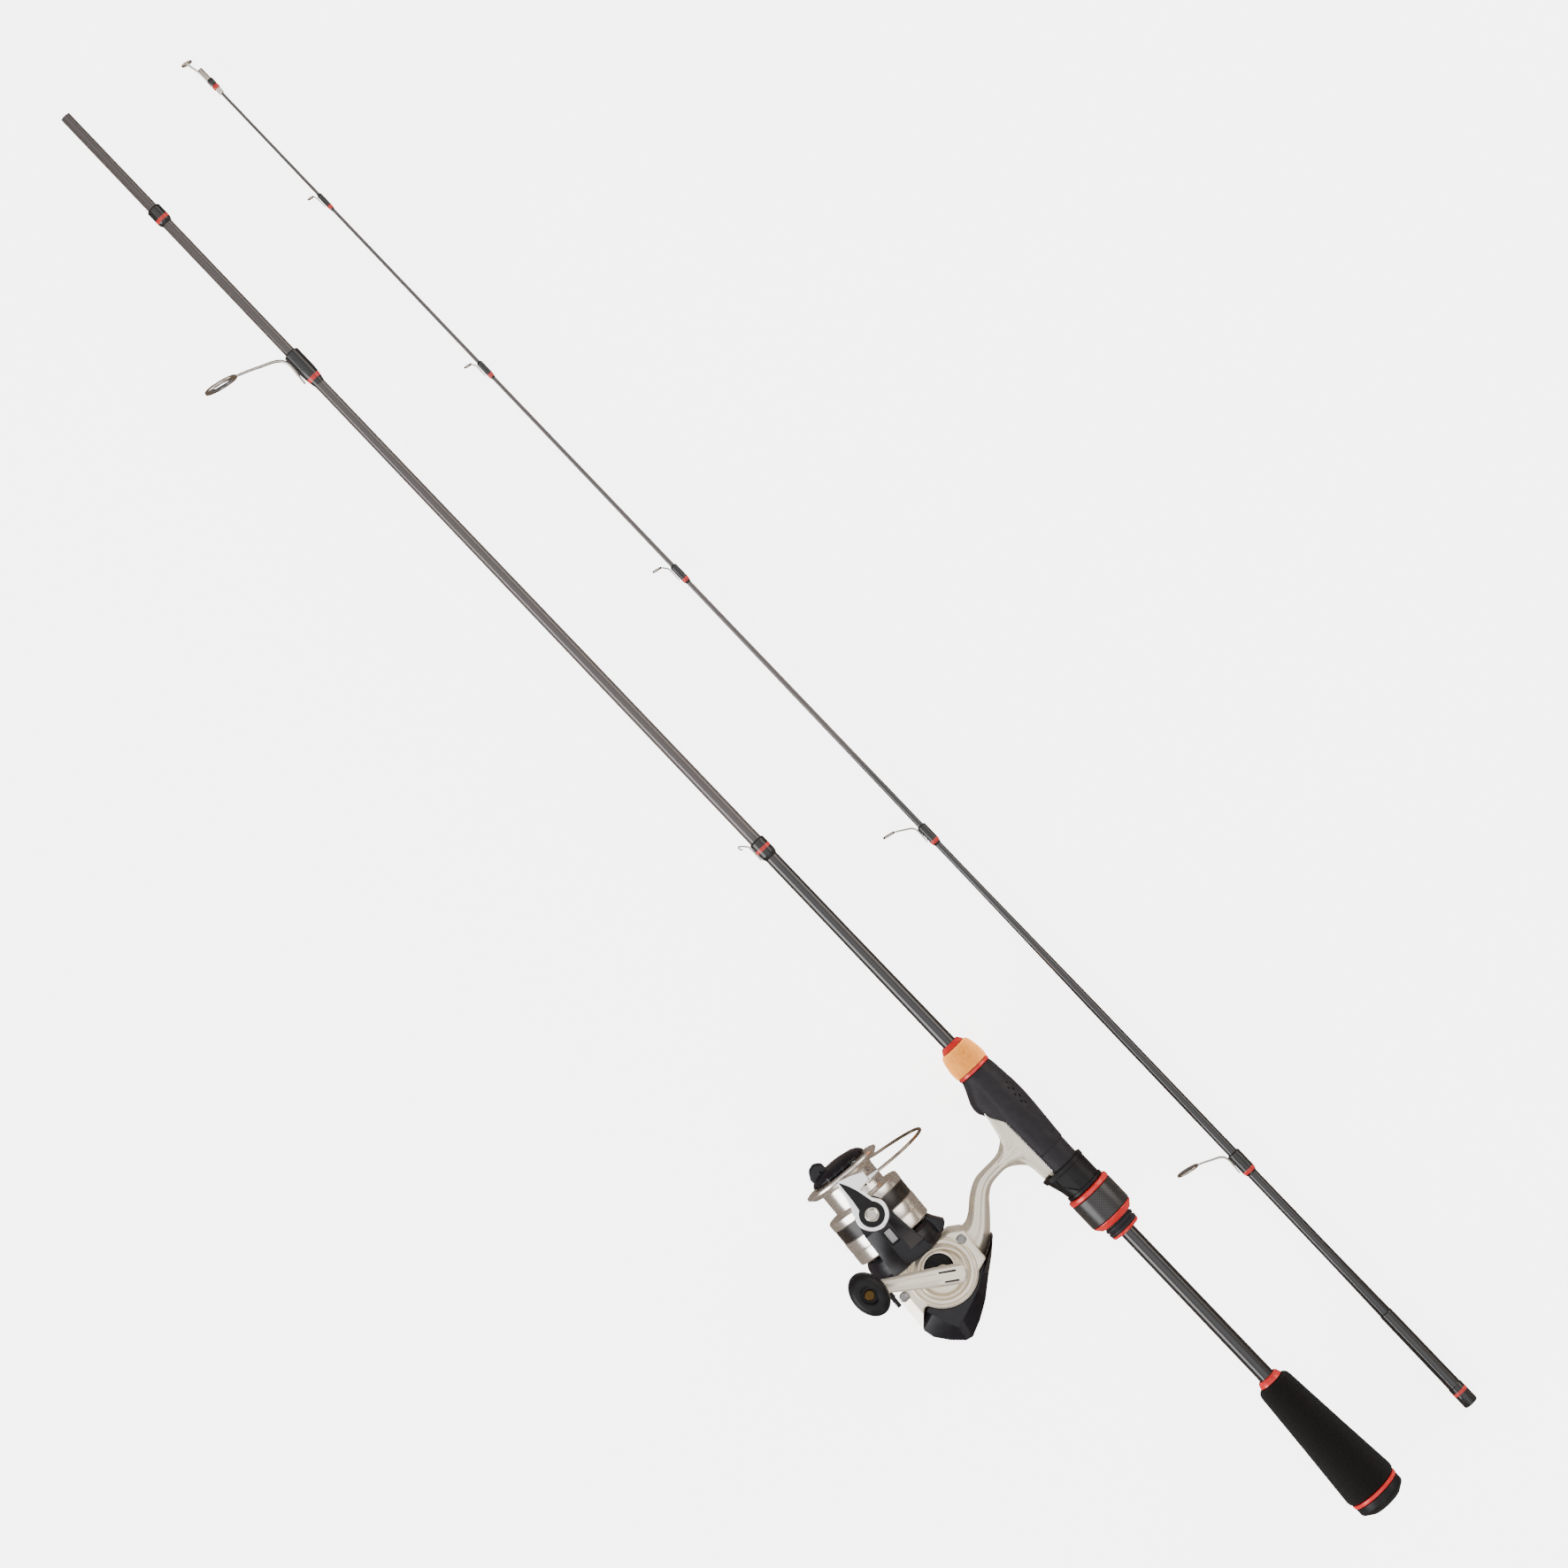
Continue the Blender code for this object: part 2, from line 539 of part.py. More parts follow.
def build_side_cover():
    boss_at = (CRANK_X, CRANK_Y, 0.0)
    hidden = dict(parent=REEL, cutter=True)
    cover = plate("side_cover", housing_outline(), HOUSING_HIGH + PART_GAP, COVER_HIGH, CHAMPAGNE,
                  bevel=0.9, parent=REEL)
    drum = [(COVER_HIGH + 2.2, 11.0), (COVER_HIGH + 2.2, 13.4), (COVER_HIGH + 1.2, 15.0),
            (COVER_HIGH + 1.2, 17.4), (COVER_HIGH - 0.5, 18.9), (HOUSING_HIGH + 1.0, 18.9)]
    raised = turned("cover_drum", rod_profile(drum), at=(DRUM_X, DRUM_Y, 0.0), steps=MEDIUM, **hidden)
    hollow = [(30.0, 0.0), (30.0, 20.0), (COVER_HIGH + 2.4, 12.2), (COVER_HIGH - 0.6, 9.4),
              (COVER_HIGH - 0.6, 0.0)]
    dish = turned("cover_dish", hollow, at=(DRUM_X, DRUM_Y, 0.0), steps=MEDIUM, **hidden)
    neck = disc("cover_neck", 20.2, HOUSING_HIGH + 1.4, 7.6, at=boss_at, steps=MEDIUM, **hidden)
    bore = disc("cover_bore", 40.0, 0.0, 3.5, at=boss_at, steps=SMALL, **hidden)
    seat = disc("near_bearing_seat", 14.4, 5.0, 6.0, at=boss_at, steps=SMALL, **hidden)
    holes = [disc(f"cover_hole_{index}", 40.0, 0.0, 1.5, at=(x, y, 0.0), steps=TINY, **hidden)
             for index, (x, y) in enumerate(SCREW_PLACES)]
    front = box("cover_front", (HOUSING_FRONT - 0.4, -40.0, 0.0), (40.0, 40.0, 40.0), **hidden)
    join(cover, raised)
    cut(cover, dish, front)
    join(cover, neck)
    cut(cover, bore, seat, *holes)
    for name, (x, y) in zip(("cover_screw_front", "cover_screw_rear"), SCREW_PLACES):
        head = [(COVER_HIGH + 1.4, 0.9), (COVER_HIGH + 1.4, 1.9), (COVER_HIGH + 1.0, 2.4),
                (COVER_HIGH + PART_GAP, 2.4), (COVER_HIGH + PART_GAP, 1.1), (HOUSING_HIGH + 0.6, 1.1)]
        recess = [(COVER_HIGH + 0.7, 0.0), (COVER_HIGH + 0.7, 0.9)]
        turned(name, recess + head + [(HOUSING_HIGH + 0.6, 0.0)], STEEL, at=(x, y, 0.0), steps=TINY,
               parent=REEL)


def build_rear_cover():
    """The black guard wrapped round the housing's back, down to the stem."""
    outer = [(-11.2, 12.2), (-19.4, 19.4), (-25.6, 17.6), (-32.3, 11.9), (-38.0, 5.2), (-38.8, 1.3),
             (-34.3, -7.4), (-27.9, -16.5), (-18.0, -26.9), (-11.4, -34.4), (-3.4, -42.0)]
    inner = [(-2.6, -41.3), (-6.7, -37.5), (-10.2, -31.9)]
    outline = outer + inner + arc(DRUM_X, DRUM_Y, DRUM_RADIUS + 0.4, 230.0, 120.0, 12)
    plate("rear_cover", outline, -14.0, 13.0, BLACK, bevel=1.8, parent=REEL)


def build_side_cap():
    profile = [(-20.3, 7.4), (-21.6, 8.0), (-27.6, 7.6), (-28.2, 6.6), (-32.0, 6.4), (REEL_LOW, 5.8)]
    turned("side_cap", rod_profile(profile), BLACK, at=(CRANK_X, CRANK_Y, 0.0), steps=MEDIUM, parent=REEL)


def build_bearings():
    around = dict(steps=SMALL, parent=REEL)
    axis_at = (CRANK_X, CRANK_Y, 0.0)
    sleeve("crank_bearing_near", [(14.0, 5.6), (11.4, 5.6)], 3.35, STEEL, at=axis_at, **around)
    sleeve("crank_bearing_far", [(-14.4, 6.3), (-18.2, 6.3)], 3.35, STEEL, at=axis_at, **around)
    sleeve("pinion_bearing", [(13.4, 7.2), (11.6, 7.2)], 4.6, STEEL, turn=TURN_ALONG_X, **around)


# ---- reel: crank, gears and knob --------------------------------------------------------
def build_crank():
    axis_at = (CRANK_X, CRANK_Y, 0.0)
    disc("crank_shaft", 20.4, -19.2, 3.0, finish=STEEL, at=axis_at, steps=SMALL, parent=REEL)
    gear = plate("drive_gear", gear_outline(DRIVE_TEETH, 10.7, 11.4), -8.6, -4.8, GEAR_ZINC,
                 at=axis_at, parent=REEL)
    small = disc("oscillation_drive", -8.2, -12.6, 10.4, at=axis_at, steps=MEDIUM, parent=REEL,
                 cutter=True)
    bore = disc("gear_bore", 5.0, -20.0, 3.35, at=axis_at, steps=SMALL, parent=REEL, cutter=True)
    join(gear, small)
    cut(gear, bore)
    build_crank_arm(axis_at)
    spindle = [(60.0, 1.6), (59.6, 2.0), (40.7, 2.0), (40.7, 3.8), (39.3, 3.8)]
    turned("knob_spindle", rod_profile(spindle), STEEL, at=(KNOB_X, KNOB_Y, 0.0), steps=TINY, parent=REEL)


def build_crank_arm(axis_at):
    reach = math.hypot(KNOB_X - CRANK_X, KNOB_Y - CRANK_Y)
    heading = math.atan2(KNOB_Y - CRANK_Y, KNOB_X - CRANK_X)
    outline = (arc(reach, 0.0, 3.6, -80.0, 80.0, 8) + [(12.0, 4.6)]
               + arc(-4.0, 0.0, 4.9, 90.0, 270.0, 8) + [(12.0, -4.6)])
    arm = plate("crank_arm", outline, ARM_LOW, ARM_HIGH, CHAMPAGNE, bevel=1.3, at=axis_at,
                turn=(0.0, 0.0, heading), parent=REEL)
    shank = [(35.6, 3.9), (27.0, 4.0), (25.4, 5.0), (21.6, 5.2), (20.8, 4.8)]
    post = turned("crank_post", rod_profile(shank), at=axis_at, steps=SMALL, parent=REEL, cutter=True)
    join(arm, post)


def build_knob():
    at = (KNOB_X, KNOB_Y, 0.0)
    outer = [(66.4, 5.0), (66.8, 6.4), (66.6, 9.0), (64.6, 12.0), (60.0, 13.0), (52.0, 12.2),
             (45.0, 9.4), (42.2, 7.6), (41.2, 6.4)]
    profile = [(64.4, 4.8)] + outer + [(41.2, 2.6), (64.4, 2.6)]
    knob = turned("handle_knob", profile, BLACK, at=at, steps=MEDIUM, closed=True, parent=REEL)
    knob.scale = (1.0, 0.73, 1.0)
    knob.rotation_euler = (0.0, 0.0, -SPOOL_TILT)
    bore = disc("knob_bore", 70.0, 30.0, 2.5, at=at, steps=SMALL, parent=REEL, cutter=True)
    cut(knob, bore)
    cap = rod_profile([(65.6, 2.2), (65.2, 2.9), (64.8, 2.9)])
    stem = [(64.8, 2.1), (60.4, 2.1)]
    turned("knob_cap", cap[:-1] + stem + [(60.4, 0.0)], BRASS, at=at, steps=SMALL, parent=REEL)


def build_oscillation_gear():
    at = (OSCILLATION_X, OSCILLATION_Y, 0.0)
    gear = plate("oscillation_gear", gear_outline(OSCILLATION_TEETH, 5.7, 6.3), -12.4, -9.4, GEAR_ZINC,
                 at=at, parent=REEL)
    bore = disc("oscillation_bore", 0.0, -20.0, 1.5, at=at, steps=TINY, parent=REEL, cutter=True)
    cut(gear, bore)


# ---- reel: rotor, bail and line roller --------------------------------------------------
def build_rotor():
    hidden = dict(parent=REEL, cutter=True)
    profile = [(42.0, 11.6), (42.0, 13.5), (27.2, 13.7), (26.8, 21.4), (24.6, 22.9), (21.0, 24.6),
               (16.2, 24.6), (14.2, 23.0), (14.2, 20.6), (23.0, 19.6), (23.0, 7.6), (15.0, 7.4),
               (15.0, 4.7), (26.6, 4.7), (26.6, 11.4)]
    rotor = turned("rotor", profile, BLACK, turn=TURN_ALONG_X, steps=FINE, closed=True, parent=REEL)
    tube = sleeve("arm_tube", [(60.0, 28.2), (15.4, 28.2)], 23.9, None, turn=TURN_ALONG_X, steps=FINE,
                  **hidden)
    plan = ([(15.0, -14.0), (24.0, -11.6), (40.0, -9.4)] + arc(BAIL_X, 0.0, 9.4, -90.0, 90.0, 10)
            + [(40.0, 9.4), (24.0, 10.6), (15.0, 12.4)])
    arms = plate("arm_plan", plan, -40.0, 40.0, **hidden)
    combine(tube, "INTERSECT", arms)
    wedge = plate("trip_wedge", [(15.0, -18.0), (15.4, -22.0), (17.4, -26.2), (20.4, -25.4), (26.0, -19.6),
                                 (24.0, -16.0)], -6.5, 6.5, bevel=0.8, **hidden)
    clear_hub = disc("rotor_hub_clear", 60.0, 23.2, 20.6, turn=TURN_ALONG_X, steps=SMALL, **hidden)
    window = box("arm_window", (27.0, -2.4, 20.0), (36.4, 4.0, 40.0), **hidden)
    pivots = disc("pivot_holes", 40.0, -40.0, 2.1, at=(BAIL_X, 0.0, 0.0), steps=TINY, **hidden)
    rear = disc("rotor_rear_clear", 23.0, 10.0, 19.4, turn=TURN_ALONG_X, steps=SMALL, **hidden)
    cut(wedge, clear_hub, rear)
    join(rotor, tube, wedge)
    cut(rotor, window, pivots)


def build_pinion():
    teeth = gear_outline(PINION_TEETH, 3.4, 4.3)
    pinion = plate("pinion", teeth, 4.4, 27.4, BRASS, parent=REEL, turn=TURN_ALONG_X)
    bore = disc("pinion_bore", 40.0, 0.0, SHAFT_RADIUS + PART_GAP, turn=TURN_ALONG_X, steps=SMALL,
                parent=REEL, cutter=True)
    cut(pinion, bore)
    nut = plate("rotor_nut", arc(0.0, 0.0, 7.6, 0.0, 300.0, 5), 27.8, 31.4, BRASS, bevel=0.4,
                parent=REEL, turn=TURN_ALONG_X)
    cut(nut, bore)


def build_bail_screws():
    for name, side in (("bail_screw", 1.0), ("far_bail_screw", -1.0)):
        head = [(BAIL_Z + 3.7, 3.2), (BAIL_Z + 3.4, 4.0), (BAIL_Z + 3.0, 4.0), (BAIL_Z + 3.0, 1.7),
                (24.4, 1.7)]
        turn = (0.0, 0.0, 0.0) if side > 0 else (math.pi, 0.0, 0.0)
        turned(name, rod_profile(head), STEEL, at=(BAIL_X, 0.0, 0.0), turn=turn, steps=SMALL, parent=REEL)


def build_bail():
    hidden = dict(parent=REEL, cutter=True)
    pivots = disc("bail_holes", 40.0, -40.0, 2.1, at=(BAIL_X, 0.0, 0.0), steps=TINY, **hidden)
    outline = (arc(BAIL_X, 0.0, 9.2, 60.0, 290.0, 16)
               + [(60.6, -2.7), (68.6, -1.8), (71.2, 3.4), (70.6, 5.0), (61.0, 6.4)])
    arm = plate("bail_arm", outline, BAIL_Z, BAIL_Z + BAIL_THICK, CHAMPAGNE, bevel=0.7, parent=REEL)
    lug = box("roller_lug", (61.2, -2.6, 24.4), (68.4, 0.6, BAIL_Z + 1.0), bevel=0.8, **hidden)
    pin = disc("roller_pin", 0.0, -9.6, 1.0, at=(ROLLER_X, -1.0, ROLLER_Z), turn=TURN_ALONG_Y,
               steps=TINY, **hidden)
    join(arm, lug, pin)
    cut(arm, pivots)
    far_outline = (arc(BAIL_X, 0.0, 8.0, 40.0, 285.0, 14)
                   + [(66.0, -15.2), (71.6, -15.2), (71.6, -9.0)])
    far = plate("far_bail_arm", far_outline, -BAIL_Z - BAIL_THICK, -BAIL_Z, CHAMPAGNE, bevel=0.7,
                parent=REEL)
    far_lug = box("wire_lug", (66.6, -14.8, -BAIL_Z - 1.0), (71.0, -10.0, -24.6), bevel=0.8, **hidden)
    join(far, far_lug)
    cut(far, pivots)
    sleeve("line_roller", [(-3.2, 2.8), (-4.6, 2.1), (-6.8, 2.1), (-8.2, 2.8)], 1.3, STEEL,
           at=(ROLLER_X, 0.0, ROLLER_Z), turn=TURN_ALONG_Y, steps=SMALL, parent=REEL)
    build_bail_wire()


def build_bail_wire():
    """The half-round wire between the line roller and the far bail arm."""
    middle_y = -20.6
    swing = [math.radians(angle) for angle in range(90, -91, -10)]
    near = [(-11.0, ROLLER_Z), (-14.0, ROLLER_Z), (-17.0, ROLLER_Z)]
    bend = [(middle_y - 26.9 * math.cos(a), ROLLER_Z * math.sin(a)) for a in swing]
    far = [(-17.8, -ROLLER_Z), (-15.2, -ROLLER_Z)]
    path = near + bend + far
    route = []
    for index, (y, z) in enumerate(path):
        share = index / (len(path) - 1)
        route.append((ROLLER_X + 4.2 * share, y, z))
    swell = [3.0, 2.6, 1.3] + [1.0] * (len(path) - 3)
    wire("bail_wire", route, 0.85, STEEL, swell=swell, parent=REEL)


# ---- reel: spool, main shaft and drag ---------------------------------------------------
def build_spool():
    band_low = SPOOL_RADIUS - 0.5
    profile = [(74.8, 14.8), (74.8, 21.6), (74.2, SPOOL_LIP_RADIUS), (72.4, SPOOL_LIP_RADIUS),
               (70.2, 20.6), (69.6, ARBOR_RADIUS), (57.4, ARBOR_RADIUS), (57.0, 18.0), (56.4, 22.4),
               (55.6, SPOOL_RADIUS), (51.3, SPOOL_RADIUS), (51.0, band_low), (42.6, band_low),
               (42.3, SPOOL_RADIUS), (28.2, SPOOL_RADIUS), (28.2, 21.6), (50.6, 21.2), (52.0, 19.8),
               (52.0, 7.0), (46.0, 6.6), (46.0, 2.5), (60.0, 2.5), (60.0, 14.4)]
    turned("spool", profile, SPOOL_SILVER, turn=TURN_ALONG_X, steps=FINE, closed=True, parent=REEL)
    sleeve("drag_washer", [(64.4, 13.8), (60.4, 13.8)], 3.0, FELT, turn=TURN_ALONG_X, steps=SMALL,
           parent=REEL)
    sleeve("drag_retainer", [(66.0, 14.0), (64.8, 14.0)], 8.2, STEEL, turn=TURN_ALONG_X, steps=SMALL,
           parent=REEL)


def build_shaft():
    disc("main_shaft", 76.4, -13.4, SHAFT_RADIUS, finish=STEEL, turn=TURN_ALONG_X, steps=TINY, parent=REEL)
    slider = box("oscillation_slider", (-12.8, -5.0, -4.3), (-8.8, 2.7, 5.0), GEAR_ZINC, bevel=0.5,
                 parent=REEL)
    bore = disc("slider_bore", 0.0, -30.0, SHAFT_RADIUS + PART_GAP, turn=TURN_ALONG_X, steps=TINY,
                parent=REEL, cutter=True)
    cut(slider, bore)


def build_drag_knob():
    profile = [(81.4, 0.0), (81.2, 6.0), (80.0, 12.6), (77.8, 16.2), (76.4, 17.1), (75.4, 16.8),
               (75.2, 16.0), (75.2, 7.6), (66.8, 7.4), (66.4, 6.8), (66.4, 2.6), (77.4, 2.6), (77.4, 0.0)]
    knob = turned("drag_knob", profile, BLACK, turn=TURN_ALONG_X, steps=MEDIUM, parent=REEL)
    crest = plate("knob_crest", [(78.4, 4.6), (84.6, 5.2), (87.0, 9.0), (85.6, 13.2), (80.6, 15.6),
                                 (77.8, 14.6)], -4.6, 4.6, bevel=1.2, parent=REEL, cutter=True)
    join(knob, crest)


def build_reverse_lever():
    """The anti-reverse lever on the +Y side of the housing, on a pin along Y."""
    pin = disc("anti_reverse_lever", 22.0, 14.6, 1.5, finish=BLACK, at=(LEVER_X, 0.0, 0.0),
               turn=TURN_ALONG_Y, steps=TINY, parent=REEL)
    arm = box("lever_arm", (-2.2, 20.2, -1.6), (LEVER_X + 1.9, 22.8, 1.6), bevel=0.6, parent=REEL,
              cutter=True)
    join(pin, arm)


def build():
    build_butt_blank()
    build_butt_end()
    build_seat()
    build_fore_grip()
    build_hook_keeper()
    build_stripper_guide()
    build_tip_section()
    build_sliding_hood()
    build_hood_nut()
    build_housing()
    build_side_cover()
    build_rear_cover()
    build_side_cap()
    build_bearings()
    build_crank()
    build_knob()
    build_oscillation_gear()
    build_rotor()
    build_pinion()
    build_bail_screws()
    build_bail()
    build_spool()
    build_shaft()
    build_drag_knob()
    build_reverse_lever()
    bpy.context.view_layer.update()


build()
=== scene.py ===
import json
from math import atan2, copysign, cos, exp, hypot, pi, radians, sin, tau

import bmesh
import bpy
from mathutils import Matrix, Vector

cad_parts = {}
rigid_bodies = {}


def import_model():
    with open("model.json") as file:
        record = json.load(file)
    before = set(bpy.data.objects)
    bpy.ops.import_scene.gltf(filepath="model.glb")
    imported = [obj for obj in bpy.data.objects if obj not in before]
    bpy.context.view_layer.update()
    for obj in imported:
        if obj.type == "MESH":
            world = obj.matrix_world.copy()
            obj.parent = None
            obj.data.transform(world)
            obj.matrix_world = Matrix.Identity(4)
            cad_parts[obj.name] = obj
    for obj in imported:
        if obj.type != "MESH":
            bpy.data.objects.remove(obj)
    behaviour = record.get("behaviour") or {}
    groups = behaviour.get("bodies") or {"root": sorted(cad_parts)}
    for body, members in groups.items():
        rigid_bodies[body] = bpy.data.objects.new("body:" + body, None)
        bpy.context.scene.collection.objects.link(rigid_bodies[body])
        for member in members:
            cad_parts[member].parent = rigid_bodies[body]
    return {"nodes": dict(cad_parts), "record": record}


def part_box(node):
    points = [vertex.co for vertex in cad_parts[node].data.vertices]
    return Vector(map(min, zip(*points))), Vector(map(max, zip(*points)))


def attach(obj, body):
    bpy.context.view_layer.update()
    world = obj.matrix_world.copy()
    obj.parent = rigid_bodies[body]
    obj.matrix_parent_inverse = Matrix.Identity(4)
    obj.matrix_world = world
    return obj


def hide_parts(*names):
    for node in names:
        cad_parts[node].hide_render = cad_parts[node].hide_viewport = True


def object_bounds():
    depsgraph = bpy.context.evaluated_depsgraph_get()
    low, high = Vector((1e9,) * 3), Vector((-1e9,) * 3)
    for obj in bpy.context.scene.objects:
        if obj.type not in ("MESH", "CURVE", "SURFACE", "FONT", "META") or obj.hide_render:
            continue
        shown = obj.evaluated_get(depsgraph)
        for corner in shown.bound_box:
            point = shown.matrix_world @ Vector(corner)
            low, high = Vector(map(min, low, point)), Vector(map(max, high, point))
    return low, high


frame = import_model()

CAD_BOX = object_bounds()

# Dimensions are in millimetres; the helpers turn them into metres.
MM = 0.001
ROD = Matrix.Identity(4)
REEL_X, REEL_Y = 257.0, 95.3
SPOOL_TILT = radians(-4.1)
REEL = Matrix.Translation((REEL_X * MM, REEL_Y * MM, 0.0)) @ Matrix.Rotation(SPOOL_TILT, 4, "Z")

# ---- rod ---------------------------------------------------------------------------------
TIP_LOW, TIP_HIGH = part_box("tip_ferrule")
TIP_Y = (TIP_LOW.y + TIP_HIGH.y) / 2 / MM
TIP_Z = (TIP_LOW.z + TIP_HIGH.z) / 2 / MM
TIP = Matrix.Translation((0.0, TIP_Y * MM, TIP_Z * MM))
BUTT_END = 1029.6
FOOT_FLAT_Y = 7.1
GRIP_BORE = 5.1
NUT_BORE = 9.6
KEEPER_WIRE = 0.45
# (place along the rod, ring centre height, ring outer radius, ring wire radius, leg foot place)
STRIPPER_GUIDE = (867.3, 39.0, 10.0, 1.15, 848.0)
STRIPPER_WRAP = 1.5
TIP_GUIDES = {
    5: (199.0, 24.4, 6.65, 0.85, 187.0),
    4: (443.4, 16.2, 3.7, 0.7, 433.0),
    3: (635.0, 7.8, 2.9, 0.6, 628.5),
    2: (786.4, 5.6, 2.4, 0.55, 781.5),
    1: (911.5, 4.5, 2.1, 0.5, 907.5),
}
GUIDE_LEAN = radians(12.0)
BUTT_STATIONS = ((0.0, 4.75), (100.0, 4.62), (342.0, 4.15), (420.0, 3.8), (656.0, 3.42), (787.0, 3.12),
                 (BUTT_END, 2.95))
TIP_STATIONS = ((0.0, 3.75), (72.0, 3.5), (116.0, 3.1), (300.0, 2.6), (326.0, 2.4), (392.0, 1.95),
                (490.0, 1.6), (655.0, 1.25), (780.0, 1.05), (852.0, 0.95), (1000.0, 0.8))

# ---- reel --------------------------------------------------------------------------------
CRANK_X, CRANK_Y = -0.25, -9.1
KNOB_X, KNOB_Y = 20.1, 26.2
DRUM_X, DRUM_Y, DRUM_RADIUS = -0.5, -8.6, 19.7
DRUM_WALL = 2.2
HOUSING_FRONT = 13.7
# degrees round the drum where the cavity's curved wall starts, clear of the oscillation gear's tips
CAVITY_START = 116.0
HOUSING_LOW, HOUSING_HIGH = -15.5, 11.0
COVER_LOW, COVER_HIGH = 11.3, 14.6
# centre of the well in the cover, a little forward of the crank; a black lining paints the shade in it
WELL_PLACE = (2.5, -8.6)
LEVER_X = 5.2
CRANK_LOW, CRANK_HIGH = 34.4, 39.0
BAIL_X, BAIL_Z, BAIL_TOP = 48.7, 28.6, 31.2
PIVOT_RADIUS = 2.1
# centre height and half height of the wire's loop, and the wire's radius
WIRE_Y, WIRE_REACH, WIRE_RADIUS = -20.6, 26.9, 0.9
# height of the rotor arms' flat outer faces
ARM_FACE = 28.2
# (distance in from an end of the foot, half width there)
FOOT_TAPER = ((0.0, 3.4), (4.0, 5.0), (12.0, 6.6), (20.0, 7.0))
ROLLER_X, ROLLER_Z = 64.6, 27.0
SCREW_PLACES = {"cover_screw_front": (6.6, -27.6), "cover_screw_rear": (2.2, 15.6)}
# sides of a large and of a small turned part
ROUND = 96
SLIM = 40

# Each mount is a CAD body with the frame that its pieces are drawn in.
BUTT = ("rod_butt", ROD)
HOOD = ("hood", ROD)
NUT = ("nut", ROD)
TIP_PART = ("tip_section", TIP)
HOUSING = ("rod_butt", REEL)
LEVER = ("reverse_lever", REEL)
ROTOR = ("rotor_unit", REEL)
BAIL = ("bail", REEL)
ROLLER = ("roller", REEL)
SPOOL = ("spool_unit", REEL)
DRAG = ("drag", REEL)
CRANK_AT = (CRANK_X, CRANK_Y, 0.0)
BAIL_AT = (BAIL_X, 0.0, 0.0)

# The record's slot for each look that is not a slot itself.
SLOT_OF = {"thread_black": "carbon_blank", "thread_red": "carbon_blank", "seat_plastic": "black_plastic",
           "rotor_plastic": "black_plastic", "spool_band": "black_plastic",
           "gear_zinc": "stainless", "warm_wire": "stainless", "chrome": "stainless"}

BENCH = bpy.data.collections.new("bench")
bpy.context.scene.collection.children.link(BENCH)


# ---- materials ---------------------------------------------------------------------------
class Finish:
    """A node material whose colour, roughness and relief come from procedural textures."""

    def __init__(self, name, **sockets):
        self.made = bpy.data.materials.new(name)
        self.entry = (name, self.made)
        self.made.use_nodes = True
        self.tree = self.made.node_tree
        self.shader = self.tree.nodes["Principled BSDF"]
        for socket, value in sockets.items():
            self.shader.inputs[socket.replace("_", " ")].default_value = value
        self.place = self.node("ShaderNodeTexCoord").outputs["Object"]
        self.last_bump = None

    def node(self, kind, **settings):
        made = self.tree.nodes.new(kind)
        for key, value in settings.items():
            setattr(made, key, value)
        return made

    def link(self, source, target):
        self.tree.links.new(source, target)

    def stretched(self, scale):
        """Object coordinates, in millimetres, scaled along each axis or by one number along all."""
        scale = (scale,) * 3 if isinstance(scale, float) else scale
        moved = self.node("ShaderNodeMapping")
        moved.inputs["Scale"].default_value = [value / MM for value in scale]
        self.link(self.place, moved.inputs["Vector"])
        return moved.outputs["Vector"]

    def noise(self, scale, detail=3.0, roughness=0.5):
        made = self.node("ShaderNodeTexNoise")
        made.inputs["Scale"].default_value = 1.0
        made.inputs["Detail"].default_value = detail
        made.inputs["Roughness"].default_value = roughness
        self.link(self.stretched(scale), made.inputs["Vector"])
        return made.outputs["Fac"]

    def wave(self, scale, direction="X", distortion=0.0, profile="SIN"):
        made = self.node("ShaderNodeTexWave", bands_direction=direction, wave_profile=profile)
        made.inputs["Scale"].default_value = 1.0
        made.inputs["Distortion"].default_value = distortion
        self.link(self.stretched(scale), made.inputs["Vector"])
        return made.outputs["Fac"]

    def cells(self, scale):
        made = self.node("ShaderNodeTexVoronoi")
        made.inputs["Scale"].default_value = 1.0
        self.link(self.stretched(scale), made.inputs["Vector"])
        return made.outputs["Distance"]

    def ramp(self, source, *stops):
        made = self.node("ShaderNodeValToRGB")
        bar = made.color_ramp.elements
        while len(bar) < len(stops):
            bar.new(0.5)
        for stop, (position, colour) in zip(bar, stops):
            stop.position = position
            stop.color = (*colour, 1.0)
        self.link(source, made.inputs["Fac"])
        return made.outputs["Color"]

    def mixed(self, source, first, second):
        made = self.node("ShaderNodeMix", data_type="RGBA")
        self.link(source, made.inputs[0])
        self.link(first, made.inputs[6])
        self.link(second, made.inputs[7])
        return made.outputs[2]

    def colour(self, output):
        self.link(output, self.shader.inputs["Base Color"])
        return self

    def mottle(self, source, dark, light):
        return self.colour(self.ramp(source, (0.3, dark), (0.7, light)))

    def rough(self, source, low, high):
        spread = self.node("ShaderNodeMapRange")
        spread.inputs["To Min"].default_value = low
        spread.inputs["To Max"].default_value = high
        self.link(source, spread.inputs["Value"])
        self.link(spread.outputs["Result"], self.shader.inputs["Roughness"])
        return self

    def bump(self, source, height):
        made = self.node("ShaderNodeBump")
        made.inputs["Strength"].default_value = 1.0
        made.inputs["Distance"].default_value = height * MM
        self.link(source, made.inputs["Height"])
        if self.last_bump:
            self.link(self.last_bump, made.inputs["Normal"])
        self.last_bump = made.outputs["Normal"]
        self.link(self.last_bump, self.shader.inputs["Normal"])
        return self


